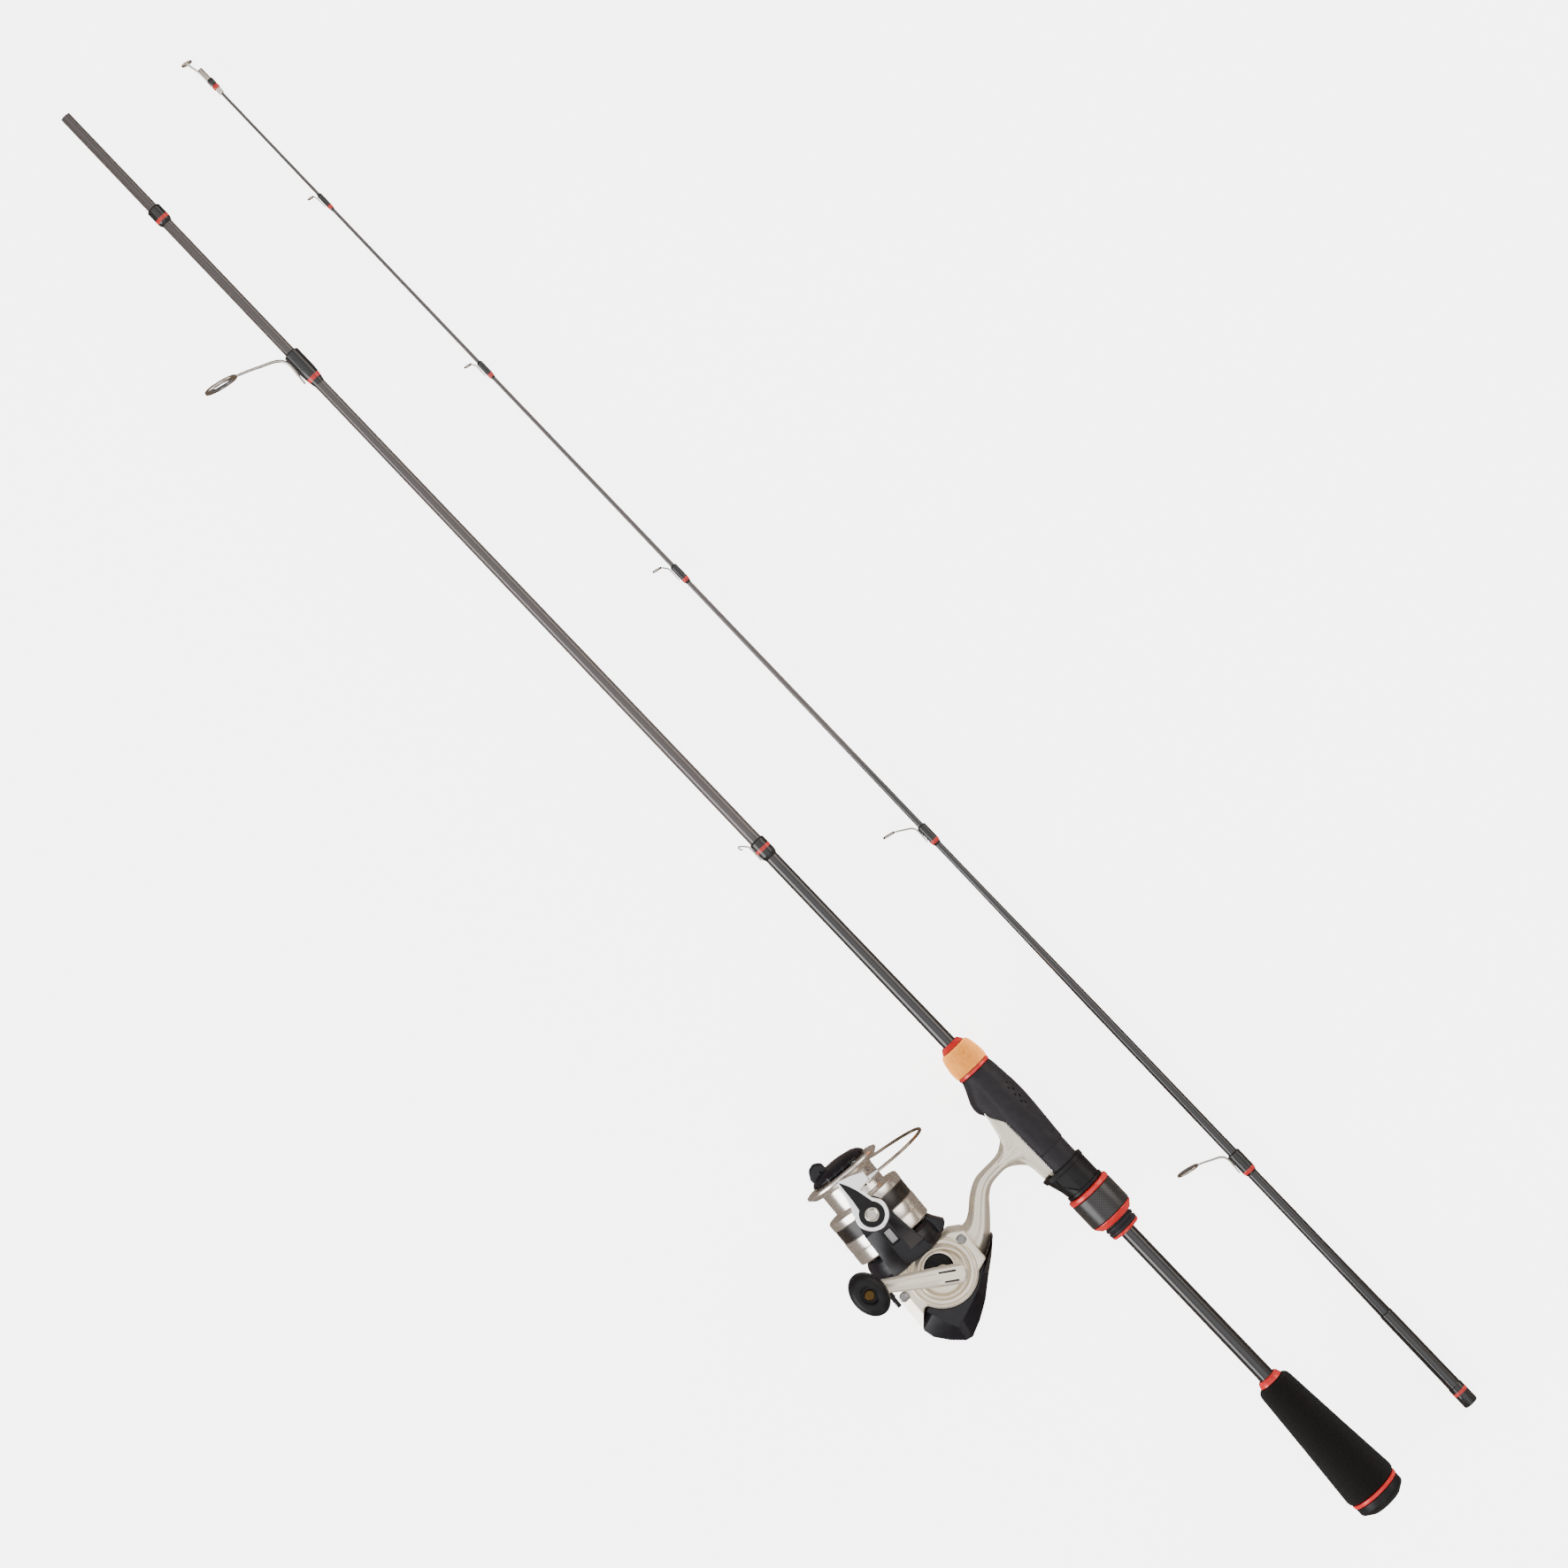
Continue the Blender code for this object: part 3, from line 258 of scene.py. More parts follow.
def blank_finish():
    """Clear-coated carbon: black near the handle, brown-grey further out."""
    made = Finish("carbon_blank", Coat_Weight=0.7, Coat_Roughness=0.08, Specular_IOR_Level=0.3)
    along = made.node("ShaderNodeSeparateXYZ")
    made.link(made.place, along.inputs[0])
    spread = made.node("ShaderNodeMapRange")
    spread.inputs["From Max"].default_value = 1.05
    made.link(along.outputs["X"], spread.inputs["Value"])
    fade = made.ramp(spread.outputs["Result"], (0.0, (0.006, 0.0055, 0.006)), (0.45, (0.012, 0.010, 0.010)),
                     (0.475, (0.060, 0.047, 0.044)), (1.0, (0.046, 0.037, 0.035)))
    grain = made.ramp(made.noise((0.05, 3.0, 3.0), 4.0), (0.3, (0.75, 0.75, 0.75)), (0.7, (1.0, 1.0, 1.0)))
    made.colour(made.mixed(made.noise(0.3), fade, made.mixed(grain, fade, fade)))
    made.rough(made.noise((0.4, 2.0, 2.0)), 0.22, 0.36)
    return made.bump(made.wave((1.2, 0.0, 0.0)), 0.006).entry


def thread_finish(name, low, high):
    """Thread wound round a blank under clear epoxy."""
    made = Finish(name, Coat_Weight=0.6, Coat_Roughness=0.05, Specular_IOR_Level=0.3)
    made.colour(made.ramp(made.wave((7.0, 0.0, 0.0), distortion=0.3), (0.2, low), (0.8, high)))
    made.rough(made.noise(1.0), 0.2, 0.32)
    return made.bump(made.wave((7.0, 0.0, 0.0), distortion=0.3), 0.02).entry


def plastic_finish(name, dark, light, low, high, relief=0.02, grain=4.0, **sockets):
    """Moulded plastic: a fine sparked grain and faint handling marks."""
    made = Finish(name, **sockets)
    made.mottle(made.noise(0.25), dark, light)
    made.rough(made.noise(0.5, 4.0), low, high)
    return made.bump(made.noise(grain, 2.0), relief).entry


def foam_finish():
    made = Finish("foam_grip", Specular_IOR_Level=0.05)
    made.colour(made.ramp(made.cells(1.6), (0.0, (0.003, 0.003, 0.003)), (0.5, (0.010, 0.0092, 0.0088))))
    made.rough(made.noise(2.0), 0.72, 0.92)
    made.bump(made.noise(0.6), 0.08)
    return made.bump(made.cells(1.6), 0.09).entry


def cork_finish():
    """Sanded cork: warm mottling, lenticels and small dark pits."""
    made = Finish("cork", Specular_IOR_Level=0.05)
    body = made.ramp(made.noise((0.35, 0.5, 0.5), 6.0, 0.65), (0.25, (0.86, 0.27, 0.03)),
                     (0.5, (1.0, 0.36, 0.055)), (0.75, (1.0, 0.43, 0.09)))
    pits = made.ramp(made.noise((0.45, 1.6, 1.6), 2.0), (0.28, (0.62, 0.42, 0.28)), (0.36, (1.0, 1.0, 1.0)))
    full = made.node("ShaderNodeMix", data_type="RGBA", blend_type="MULTIPLY")
    full.inputs[0].default_value = 1.0
    made.link(body, full.inputs[6])
    made.link(pits, full.inputs[7])
    made.colour(full.outputs[2])
    made.rough(made.noise(1.0), 0.7, 0.9)
    made.bump(made.noise((0.45, 1.6, 1.6), 2.0), 0.15)
    return made.bump(made.noise(3.0), 0.05).entry


def weave_finish():
    """A carbon twill under satin lacquer: diagonal bands crossed by their mirror image."""
    made = Finish("carbon_weave", Coat_Weight=0.35, Coat_Roughness=0.25, Specular_IOR_Level=0.3)
    turn = radians(45.0)
    bands = []
    for side in (-1.0, 1.0):
        moved = made.node("ShaderNodeMapping")
        moved.inputs["Scale"].default_value = (1.0 / MM, 1.0 / MM, 1.0 / MM)
        moved.inputs["Rotation"].default_value = (0.0, 0.0, side * turn)
        made.link(made.place, moved.inputs["Vector"])
        wave = made.node("ShaderNodeTexWave", bands_direction="X")
        wave.inputs["Scale"].default_value = 0.3
        made.link(moved.outputs["Vector"], wave.inputs["Vector"])
        bands.append(wave.outputs["Fac"])
    twill = made.node("ShaderNodeMath", operation="MULTIPLY")
    made.link(bands[0], twill.inputs[0])
    made.link(bands[1], twill.inputs[1])
    made.colour(made.ramp(twill.outputs[0], (0.1, (0.008, 0.0075, 0.0075)), (0.7, (0.040, 0.036, 0.035))))
    made.rough(twill.outputs[0], 0.3, 0.5)
    return made.bump(twill.outputs[0], 0.03).entry


def metal_finish(name, dark, light, low, high, brush=(0.3, 3.0, 3.0), relief=0.004, metallic=1.0,
                 **sockets):
    """Metal with directional polishing marks and uneven gloss."""
    made = Finish(name, Metallic=metallic, **sockets)
    made.mottle(made.noise(brush, 3.0), dark, light)
    made.rough(made.noise(tuple(value * 0.6 for value in brush), 4.0), low, high)
    return made.bump(made.noise(brush, 2.0), relief).entry


def paint_finish():
    """Champagne silver paint: a metallic flake under a thin clear coat."""
    made = Finish("champagne_metal", Metallic=0.72, Coat_Weight=0.25, Coat_Roughness=0.12)
    made.mottle(made.noise(5.0, 2.0), (0.70, 0.62, 0.49), (0.86, 0.79, 0.66))
    made.rough(made.noise(0.8, 4.0), 0.24, 0.34)
    return made.bump(made.noise(5.0, 2.0), 0.004).entry


def turned_finish(name, dark, light, low, high, pitch, relief=0.01):
    """Metal turned on a lathe: fine rings about the spool axis."""
    made = Finish(name, Metallic=0.95)
    made.mottle(made.noise((pitch, 0.02, 0.02), 2.0), dark, light)
    made.rough(made.noise((pitch * 0.5, 0.05, 0.05), 3.0), low, high)
    return made.bump(made.noise((pitch, 0.0, 0.0), 1.0), relief).entry


LOOKS = dict((
    blank_finish(),
    thread_finish("thread_black", (0.003, 0.003, 0.0035), (0.008, 0.008, 0.009)),
    thread_finish("thread_red", (0.34, 0.006, 0.005), (0.60, 0.014, 0.012)),
    plastic_finish("black_plastic", (0.004, 0.004, 0.005), (0.008, 0.008, 0.009), 0.36, 0.5,
                                    Specular_IOR_Level=0.2),
    plastic_finish("seat_plastic", (0.0125, 0.011, 0.0135), (0.0185, 0.0165, 0.020), 0.42, 0.54,
                                   0.02, 3.0, Specular_IOR_Level=0.22),
    plastic_finish("rotor_plastic", (0.0032, 0.0028, 0.0045), (0.0062, 0.0056, 0.009), 0.28, 0.38,
                                    0.004, 5.0, Specular_IOR_Level=0.3),
    plastic_finish("hood_black", (0.0035, 0.003, 0.0035), (0.0065, 0.006, 0.0068), 0.36, 0.46,
                                 0.003, 5.0, Specular_IOR_Level=0.22),
    foam_finish(),
    metal_finish("red_trim", (0.48, 0.006, 0.006), (0.68, 0.014, 0.012), 0.26, 0.4, metallic=0.25,
                             Coat_Weight=0.25, Coat_Roughness=0.15),
    cork_finish(),
    weave_finish(),
    metal_finish("stainless", (0.42, 0.38, 0.33), (0.60, 0.55, 0.49), 0.18, 0.32),
    metal_finish("warm_wire", (0.30, 0.24, 0.18), (0.46, 0.38, 0.30), 0.18, 0.3),
    metal_finish("chrome", (0.84, 0.83, 0.82), (0.92, 0.91, 0.90), 0.06, 0.14),
    paint_finish(),
    turned_finish("spool_silver", (0.78, 0.74, 0.69), (0.90, 0.87, 0.83), 0.18, 0.26, 1.2, 0.001),
    plastic_finish("spool_band", (0.007, 0.005, 0.0045), (0.013, 0.010, 0.009), 0.26, 0.36,
                                 0.003, 5.0, Specular_IOR_Level=0.4),
    metal_finish("gear_zinc", (0.20, 0.20, 0.20), (0.34, 0.33, 0.32), 0.3, 0.45, (2.0, 2.0, 2.0)),
    metal_finish("brass", (0.05, 0.03, 0.01), (0.11, 0.065, 0.022), 0.35, 0.5),
    plastic_finish("ceramic_ring", (0.03, 0.03, 0.034), (0.06, 0.06, 0.066), 0.06, 0.14, 0.001,
                                   2.0, Coat_Weight=0.6, Coat_Roughness=0.03),
    plastic_finish("drag_felt", (0.16, 0.15, 0.14), (0.28, 0.27, 0.25), 0.85, 0.95, 0.12, 2.0),
))


# ---- outlines ----------------------------------------------------------------------------
def arc(centre_x, centre_y, radius, first, last, count):
    angles = [radians(first + (last - first) * step / count) for step in range(count + 1)]
    return [(centre_x + radius * cos(a), centre_y + radius * sin(a)) for a in angles]


def filleted(points, radius, count=3, closed=False):
    """Rounds the corners of a polyline of pairs, leaving the ends of an open one."""
    size = len(points)
    out = []
    for index, here in enumerate(points):
        if not closed and index in (0, size - 1):
            out.append(here)
            continue
        here = Vector(here)
        before = Vector(points[index - 1]) - here
        after = Vector(points[(index + 1) % size]) - here
        reach = min(radius, before.length * 0.45, after.length * 0.45)
        if reach < 0.01:
            out.append(tuple(here))
            continue
        start = here + before.normalized() * reach
        end = here + after.normalized() * reach
        for step in range(count + 1):
            t = step / count
            out.append(tuple(start * (1 - t) ** 2 + here * 2 * t * (1 - t) + end * t * t))
    return out


def flowing(points, count=8):
    """A Catmull-Rom curve through points of any dimension."""
    points = [Vector(point) for point in points]
    path = [points[0] * 2 - points[1]] + points + [points[-1] * 2 - points[-2]]
    out = []
    for a, b, c, d in zip(path, path[1:], path[2:], path[3:]):
        for step in range(count):
            t = step / count
            out.append(0.5 * (b * 2 + (c - a) * t + (a * 2 - b * 5 + c * 4 - d) * t ** 2
                              + (b * 3 - a - c * 3 + d) * t ** 3))
    return out + [points[-1]]


def station(stations, place_x):
    for (first, wide), (second, thin) in zip(stations, stations[1:]):
        if place_x <= second:
            return wide + (thin - wide) * (place_x - first) / (second - first)
    return stations[-1][1]


def to_reel(points):
    """Points given beside the rod, expressed in the reel's tilted frame."""
    back = REEL.inverted()
    moved = [back @ Vector((x * MM, y * MM, 0.0)) for x, y in points]
    return [(point.x / MM, point.y / MM) for point in moved]


# ---- shapes on the bench -----------------------------------------------------------------
def meshed(rings, closed_way=False, caps=True, at=(0, 0, 0), turn=(0, 0, 0)):
    """A benched mesh from equal rings of points, in millimetres."""
    shape = bmesh.new()
    rows = [[shape.verts.new(Vector(point) * MM) for point in ring] for ring in rings]
    pairs = list(zip(rows, rows[1:])) + ([(rows[-1], rows[0])] if closed_way else [])
    for first, second in pairs:
        for index in range(len(first)):
            after = (index + 1) % len(first)
            shape.faces.new((first[index], first[after], second[after], second[index]))
    if caps:
        shape.faces.new(rows[0])
        shape.faces.new(rows[-1])
    bmesh.ops.remove_doubles(shape, verts=shape.verts, dist=0.000002)
    bmesh.ops.dissolve_degenerate(shape, edges=shape.edges, dist=0.000001)
    bmesh.ops.recalc_face_normals(shape, faces=shape.faces)
    mesh = bpy.data.meshes.new("shape")
    shape.to_mesh(mesh)
    shape.free()
    made = bpy.data.objects.new("shape", mesh)
    made.location = [value * MM for value in at]
    made.rotation_euler = turn
    BENCH.objects.link(made)
    return made


AXES = {"X": lambda h, r, a: (h, r * cos(a), r * sin(a)),
        "Y": lambda h, r, a: (r * sin(a), h, r * cos(a)),
        "Z": lambda h, r, a: (r * cos(a), r * sin(a), h)}


def lathe(profile, axis="X", closed=False, steps=ROUND, at=(0, 0, 0), oval=1.0, fillet=0.0, turn=(0, 0, 0)):
    """Spins (height, radius) pairs about an axis; an open profile runs from axis to axis."""
    if fillet:
        profile = filleted(profile, fillet, closed=closed)
    if not closed:
        profile = [(profile[0][0], 0.0)] + list(profile) + [(profile[-1][0], 0.0)]
    turns = [tau * index / steps for index in range(steps)]
    rings = [[AXES[axis](height, radius, angle) for angle in turns] for height, radius in profile]
    rings = [[(x, y * oval, z) for x, y, z in ring] for ring in rings]
    return meshed(rings, closed, False, at, turn)


def bar(first, last, radius, axis="X", **options):
    """A plain round bar, or the tool for a round hole."""
    return lathe([(first, radius), (last, radius)], axis, **options)


def bored(outer, bore, bore_end=None):
    """Closes an outer profile with a straight or tapered bore."""
    last = bore if bore_end is None else bore_end
    return list(outer) + [(outer[-1][0], last), (outer[0][0], bore)]


def sleeve(outer, bore, bore_end=None, **options):
    """A turned ring or sleeve with a straight or tapered bore."""
    return lathe(bored(outer, bore, bore_end), closed=True, **options)


def plate(outline, low, high, bevel=0.0, segments=2, at=(0, 0, 0), turn=(0, 0, 0)):
    rings = [[(x, y, level) for x, y in outline] for level in (low, high)]
    return edged(meshed(rings, at=at, turn=turn), bevel, segments)


def edged(made, width, segments=2, angle=35.0):
    if width:
        edge = made.modifiers.new("edges", "BEVEL")
        edge.width = width * MM
        edge.segments = segments
        edge.limit_method = "ANGLE"
        edge.angle_limit = radians(angle)
        edge.use_clamp_overlap = True
    return made


def block(low, high, bevel=0.0, **options):
    outline = [(low[0], low[1]), (high[0], low[1]), (high[0], high[1]), (low[0], high[1])]
    return plate(outline, low[2], high[2], bevel, **options)


def tube(route, radii, sides=16):
    """A tube through points, with a radius at each one, smoothed by a curve."""
    joined = flowing([(*point, radius) for point, radius in zip(route, radii)], 8)
    path = [(Vector(point[:3]), point[3]) for point in joined]
    side = None
    rings = []
    for index, (centre, radius) in enumerate(path):
        ahead = path[min(index + 1, len(path) - 1)][0] - path[max(index - 1, 0)][0]
        ahead.normalize()
        if side is None:
            side = ahead.orthogonal()
        side = (side - ahead * side.dot(ahead)).normalized()
        other = ahead.cross(side)
        turns = [tau * step / sides for step in range(sides)]
        rings.append([centre + (side * cos(a) + other * sin(a)) * radius for a in turns])
    return meshed(rings)


def hoop(major, minor, at, lean):
    """A ring whose axis lies along the rod and leans back by an angle."""
    section = [tau * index / 14 for index in range(14)]
    profile = [(minor * cos(a), major + minor * sin(a)) for a in section]
    return lathe(profile, "X", True, 64, at, turn=(0.0, 0.0, -lean))


def changed(made, operation, tools):
    for tool in tools:
        step = made.modifiers.new("change", "BOOLEAN")
        step.operation = operation
        step.solver = "EXACT"
        step.object = tool
    return made


def join(made, *tools):
    return changed(made, "UNION", tools)


def cut(made, *tools):
    return changed(made, "DIFFERENCE", tools)


def keep(made, *tools):
    return changed(made, "INTERSECT", tools)


def finish(name, looks, mount, *shapes, slot=None, nodes=(), angle=32.0):
    """Bakes benched shapes into one piece that rides on a mount's body, and clears the bench."""
    body, grid = mount
    slot = slot or SLOT_OF.get(looks)
    bpy.context.view_layer.update()
    graph = bpy.context.evaluated_depsgraph_get()
    whole = bmesh.new()
    for shape in shapes:
        mesh = bpy.data.meshes.new_from_object(shape.evaluated_get(graph))
        mesh.transform(shape.matrix_world)
        whole.from_mesh(mesh)
    bmesh.ops.remove_doubles(whole, verts=whole.verts, dist=0.000001)
    bmesh.ops.dissolve_degenerate(whole, edges=whole.edges, dist=0.0000005)
    bmesh.ops.holes_fill(whole, edges=[edge for edge in whole.edges if edge.is_boundary], sides=12)
    mesh = bpy.data.meshes.new(name)
    whole.to_mesh(mesh)
    whole.free()
    mesh.shade_smooth()
    mesh.set_sharp_from_angle(angle=radians(angle))
    mesh.materials.clear()
    mesh.materials.append(LOOKS[looks])
    made = bpy.data.objects.new(name, mesh)
    made.matrix_world = grid
    bpy.context.scene.collection.objects.link(made)
    for left in list(BENCH.objects):
        bpy.data.objects.remove(left, do_unlink=True)
    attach(made, body)
    slot or looks
    if nodes:
        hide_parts(*nodes)


def stand_in(node, looks, mount, *shapes, name=None, **options):
    """A piece that replaces a CAD node, and is named after it unless a name is given."""
    finish(name or node + "_shape", looks, mount, *shapes, nodes=(node,), **options)


# ---- camera, floor and light -------------------------------------------------------------
VIEW_CENTRE = (503.0, -32.0)
VIEW_WIDTH = 843.5
VIEW_DISTANCE = 2200.0
VIEW_RIGHT = Vector((-0.6902, -0.7236, 0.0))
VIEW_UP = Vector((0.7236, -0.6902, 0.0))
# The floor and the backdrop round it are in metres.
FLOOR_GAP, FLOOR_REACH = 0.0004, 14.0
BACKDROP_RADIUS, BACKDROP_HEIGHT = 13.0, 14.0
# (share of the way from the horizon to overhead, colour): a bright ceiling over a dim warm horizon
SURROUND = ((0.0, (0.24, 0.185, 0.14)), (0.35, (0.34, 0.28, 0.23)), (0.72, (0.72, 0.69, 0.66)),
            (0.97, (2.0, 1.97, 2.0)))


def make_camera():
    data = bpy.data.cameras.new("camera")
    data.sensor_width = 36.0
    data.lens = data.sensor_width * VIEW_DISTANCE / VIEW_WIDTH
    made = bpy.data.objects.new("camera", data)
    turn = Matrix((VIEW_RIGHT, VIEW_UP, Vector((0.0, 0.0, 1.0)))).transposed().to_4x4()
    place = Vector((VIEW_CENTRE[0], VIEW_CENTRE[1], VIEW_DISTANCE)) * MM
    made.matrix_world = Matrix.Translation(place) @ turn
    bpy.context.scene.collection.objects.link(made)
    bpy.context.scene.camera = made


def make_floor():
    made = Finish("floor", Specular_IOR_Level=0.0, Roughness=0.9, Emission_Color=(1.0, 1.0, 1.0, 1.0),
                  Emission_Strength=4.5)
    made.mottle(made.noise(0.004), (0.90, 0.90, 0.90), (0.93, 0.93, 0.93))
    level = CAD_BOX[0].z - FLOOR_GAP
    mesh = bpy.data.meshes.new("floor")
    corners = [(-FLOOR_REACH, -FLOOR_REACH, level), (FLOOR_REACH, -FLOOR_REACH, level),
               (FLOOR_REACH, FLOOR_REACH, level), (-FLOOR_REACH, FLOOR_REACH, level)]
    mesh.from_pydata(corners, [], [(0, 1, 2, 3)])
    mesh.materials.append(made.made)
    floor = bpy.data.objects.new("floor", mesh)
    wall = bpy.data.meshes.new("backdrop")
    turns = [tau * step / ROUND for step in range(ROUND)]
    rims = [(BACKDROP_RADIUS * cos(a), BACKDROP_RADIUS * sin(a), height)
            for height in (level, level + BACKDROP_HEIGHT) for a in turns]
    wall.from_pydata(rims, [], [(step, (step + 1) % ROUND, ROUND + (step + 1) % ROUND, ROUND + step)
                                for step in range(ROUND)])
    wall.materials.append(made.made)
    backdrop = bpy.data.objects.new("backdrop", wall)
    backdrop.visible_diffuse = backdrop.visible_shadow = False
    for staged in (floor, backdrop):
        staged.visible_glossy = False
        bpy.context.scene.collection.objects.link(staged)


def make_lights():
    """A broad light on the reel's side, a weaker warm one opposite, a small one by the butt, a surround."""
    target = Vector((0.5, 0.0, 0.0))
    for name, place, size, power, tint in (
            ("key", (0.3, 3.2, 1.6), 2.4, 120.0, (0.97, 0.98, 1.0)),
            ("fill", (0.7, -3.2, 1.5), 2.4, 50.0, (1.0, 0.94, 0.87)),
            ("end", (-2.8, 0.4, 1.7), 1.4, 15.0, (1.0, 0.98, 0.96))):
        data = bpy.data.lights.new(name, "AREA")
        data.shape = "DISK"
        data.size = size
        data.energy = power
        data.color = tint
        made = bpy.data.objects.new(name, data)
        made.location = place
        made.rotation_euler = (target - made.location).to_track_quat("-Z", "Y").to_euler()
        bpy.context.scene.collection.objects.link(made)
    world = bpy.data.worlds.new("surround")
    world.use_nodes = True
    tree = world.node_tree
    background = tree.nodes["Background"]
    background.inputs["Strength"].default_value = 1.0
    split = tree.nodes.new("ShaderNodeSeparateXYZ")
    shade = tree.nodes.new("ShaderNodeValToRGB")
    bar = shade.color_ramp.elements
    while len(bar) < len(SURROUND):
        bar.new(0.5)
    for stop, (height, colour) in zip(bar, SURROUND):
        stop.position = height
        stop.color = (*colour, 1.0)
    tree.links.new(tree.nodes.new("ShaderNodeTexCoord").outputs["Generated"], split.inputs[0])
    tree.links.new(split.outputs["Z"], shade.inputs["Fac"])
    tree.links.new(shade.outputs["Color"], background.inputs["Color"])
    bpy.context.scene.world = world


# ---- rod: blanks, wraps and grips --------------------------------------------------------
def wrap(name, mount, stations, first, last, height, ramp, red):
    """A thread wrap under epoxy, with a red band laid in near its start."""
    def bulge(x):
        rise = min(1, (x - first) / ramp, (last - x) / 0.8)
        return station(stations, x) + 0.02 + height * sin(max(0, rise) * pi / 2)

    def layer(start, end, proud, count):
        places = [start + (end - start) * step / count for step in range(count + 1)]
        outer = [(x, bulge(x) + proud) for x in reversed(places)]
        return bored(outer, station(stations, end) * 0.9, station(stations, start) * 0.9)

    black = lathe(layer(first, last, 0, 26), closed=True, steps=SLIM)
    finish(name, "thread_black", mount, black)
    band = lathe(layer(*red, 0.03, 8), closed=True, steps=SLIM)
    finish(name + "_band", "thread_red", mount, band)


def build_butt_blank():
    stations = reversed([(8.6, 4.74), *BUTT_STATIONS[1:]])
    blank = sleeve(list(stations), 2.1, 3.7, steps=SLIM)
    stand_in("butt_blank", "carbon_blank", BUTT, blank)
    for name, first, last, height, ramp, red in (
            ("keeper_wrap", 479.3, 491.7, 0.9, 3, (484.8, 486.8)),
            ("stripper_wrap", 831, 854.4, STRIPPER_WRAP, 11, (834.4, 836.8)),
            ("ferrule_wrap", 950, 961.6, 1.1, 3, (952.5, 954.7))):
        wrap(name, BUTT, BUTT_STATIONS, first, last, height, ramp, red)


def build_butt_grip():
    cap = [(14.5, 3.2), (8.2, 3.3), (8.2, 14.6), (4.2, 14.7), (3, 14.1), (0.6, 10.6), (0, 9.8), (0, 6.4),
           (0.5, 6)]
    stand_in("butt_cap", "black_plastic", BUTT, lathe(cap, fillet=0.35))
    ring = bored([(10.9, 14.6), (10.6, 15), (8.8, 15), (8.5, 14.6)], 5.4)
    stand_in("butt_trim_ring", "red_trim", BUTT, lathe(ring, closed=True, fillet=0.15),
             name="butt_trim_shape")
    foam = [(89.6, 7.6), (89.2, 8.6), (88, 9.8), (86, 10.3), (50, 12.95), (14.6, 15.8), (12.4, 15.6),
            (11.2, 14.7)]
    stand_in("rear_grip", "foam_grip", BUTT, sleeve(foam, GRIP_BORE, fillet=0.6))
    for name, node, bore, outer in (
            ("rear_check_shape", "rear_grip_check", 5, [(93.4, 5.6), (92.8, 6.3), (91.2, 6.9), (89.9, 7.3)]),
            ("seat_check_shape", "seat_rear_check", 5, [(204.3, 8.8), (203.8, 9), (202.5, 8.4)]),
            ("seat_ring_shape", "seat_front_ring", 5, [(322.7, 10.2), (321, 10.35), (320.7, 10)]),
            ("cork_check_shape", "fore_grip_check", 4.7, [(340.8, 5.3), (340.4, 5.7), (337.9, 7.4)])):
        stand_in(node, "red_trim", BUTT, sleeve(outer, bore, fillet=0.2), name=name)


def build_cork():
    cork = [(337.6, 7.9), (336.8, 8.9), (334.6, 9.7), (329.6, 10.6), (326.4, 10.85), (323.4, 10.6),
            (323, 10.3)]
    stand_in("fore_grip", "cork", BUTT, sleeve(cork, 4.9, fillet=0.9))


def build_seat():
    """The seat body with its ribbed tail, the flat for the reel foot and the fixed hood."""
    ribs = []
    for rib in (210.4, 207.6):
        ribs += [(rib, 9.2), (rib - 0.3, 8.5), (rib - 1.1, 8.5), (rib - 1.4, 9.2)]
    outer = [(320.4, 9.9), (318, 10.4), (310, 11.1), (302, 11.75), (294.6, 11.9), (286, 11.5),
             (278, 10.9), (270, 10.3), (263.4, 9.9), (262.8, 9.45), (253, 9.3), (214, 9.2)]
    outer += ribs + [(204.6, 8.9)]
    seat = sleeve(filleted(outer, 0.5), GRIP_BORE)
    hood = meshed([hood_ring(*entry) for entry in (
        (286.4, 11.3, 0), (292, 11.7, 1.6), (298, 11.75, 2.9), (303, 11.6, 3.6), (306, 11.35, 3.9),
        (309, 11.1, 3.5), (313, 10.8, 2), (316.5, 10.5, 0.7), (319.4, 10.05, 0))])
    slope = plate([(284, FOOT_FLAT_Y), (289.6, FOOT_FLAT_Y), (302.4, 14.9), (304.6, 15.6), (304.6, 24),
                   (284, 24)], -24, 24)
    core = bar(330, 280, GRIP_BORE)
    pocket = plate([(235, FOOT_FLAT_Y), (307.4, FOOT_FLAT_Y), (307.4, 10.1), (299.4, 12.8), (292, 16.6),
                    (235, 16.6)], -7.4, 7.4)
    flat = block((235, FOOT_FLAT_Y, -20), (287, 20, 20))
    dots = []
    for row_y, first_x, count in ((-6.7, 287.5, 5), (-9.2, 290.4, 4)):
        for side in (-1, 1):
            lean = atan2(row_y, side * 9.6)
            for index in range(count):
                ray = Vector((0, sin(lean), cos(lean)))
                centre = ray * 11.9 + Vector((first_x + 4.9 * index, 0, 0))
                dots.append(bar(-0.7, 1.6, 0.75, "Z", steps=14, at=centre,
                                  turn=ray.to_track_quat("Z", "X").to_euler()))
    join(seat, hood)
    cut(seat, core, slope, pocket, flat, *dots)
    stand_in("reel_seat", "seat_plastic", BUTT, seat, name="seat_shape")


def hood_ring(x, radius, rise, sides=96):
    """A round section that swells towards +Y by rise, with broad shoulders."""
    ring = []
    for step in range(sides):
        angle = tau * step / sides
        share = min(1, max(0, (cos(angle) - 0.35) / 0.45))
        lift = rise * share * share * (3 - 2 * share)
        ring.append((x, radius * cos(angle) + lift, radius * sin(angle)))
    return ring


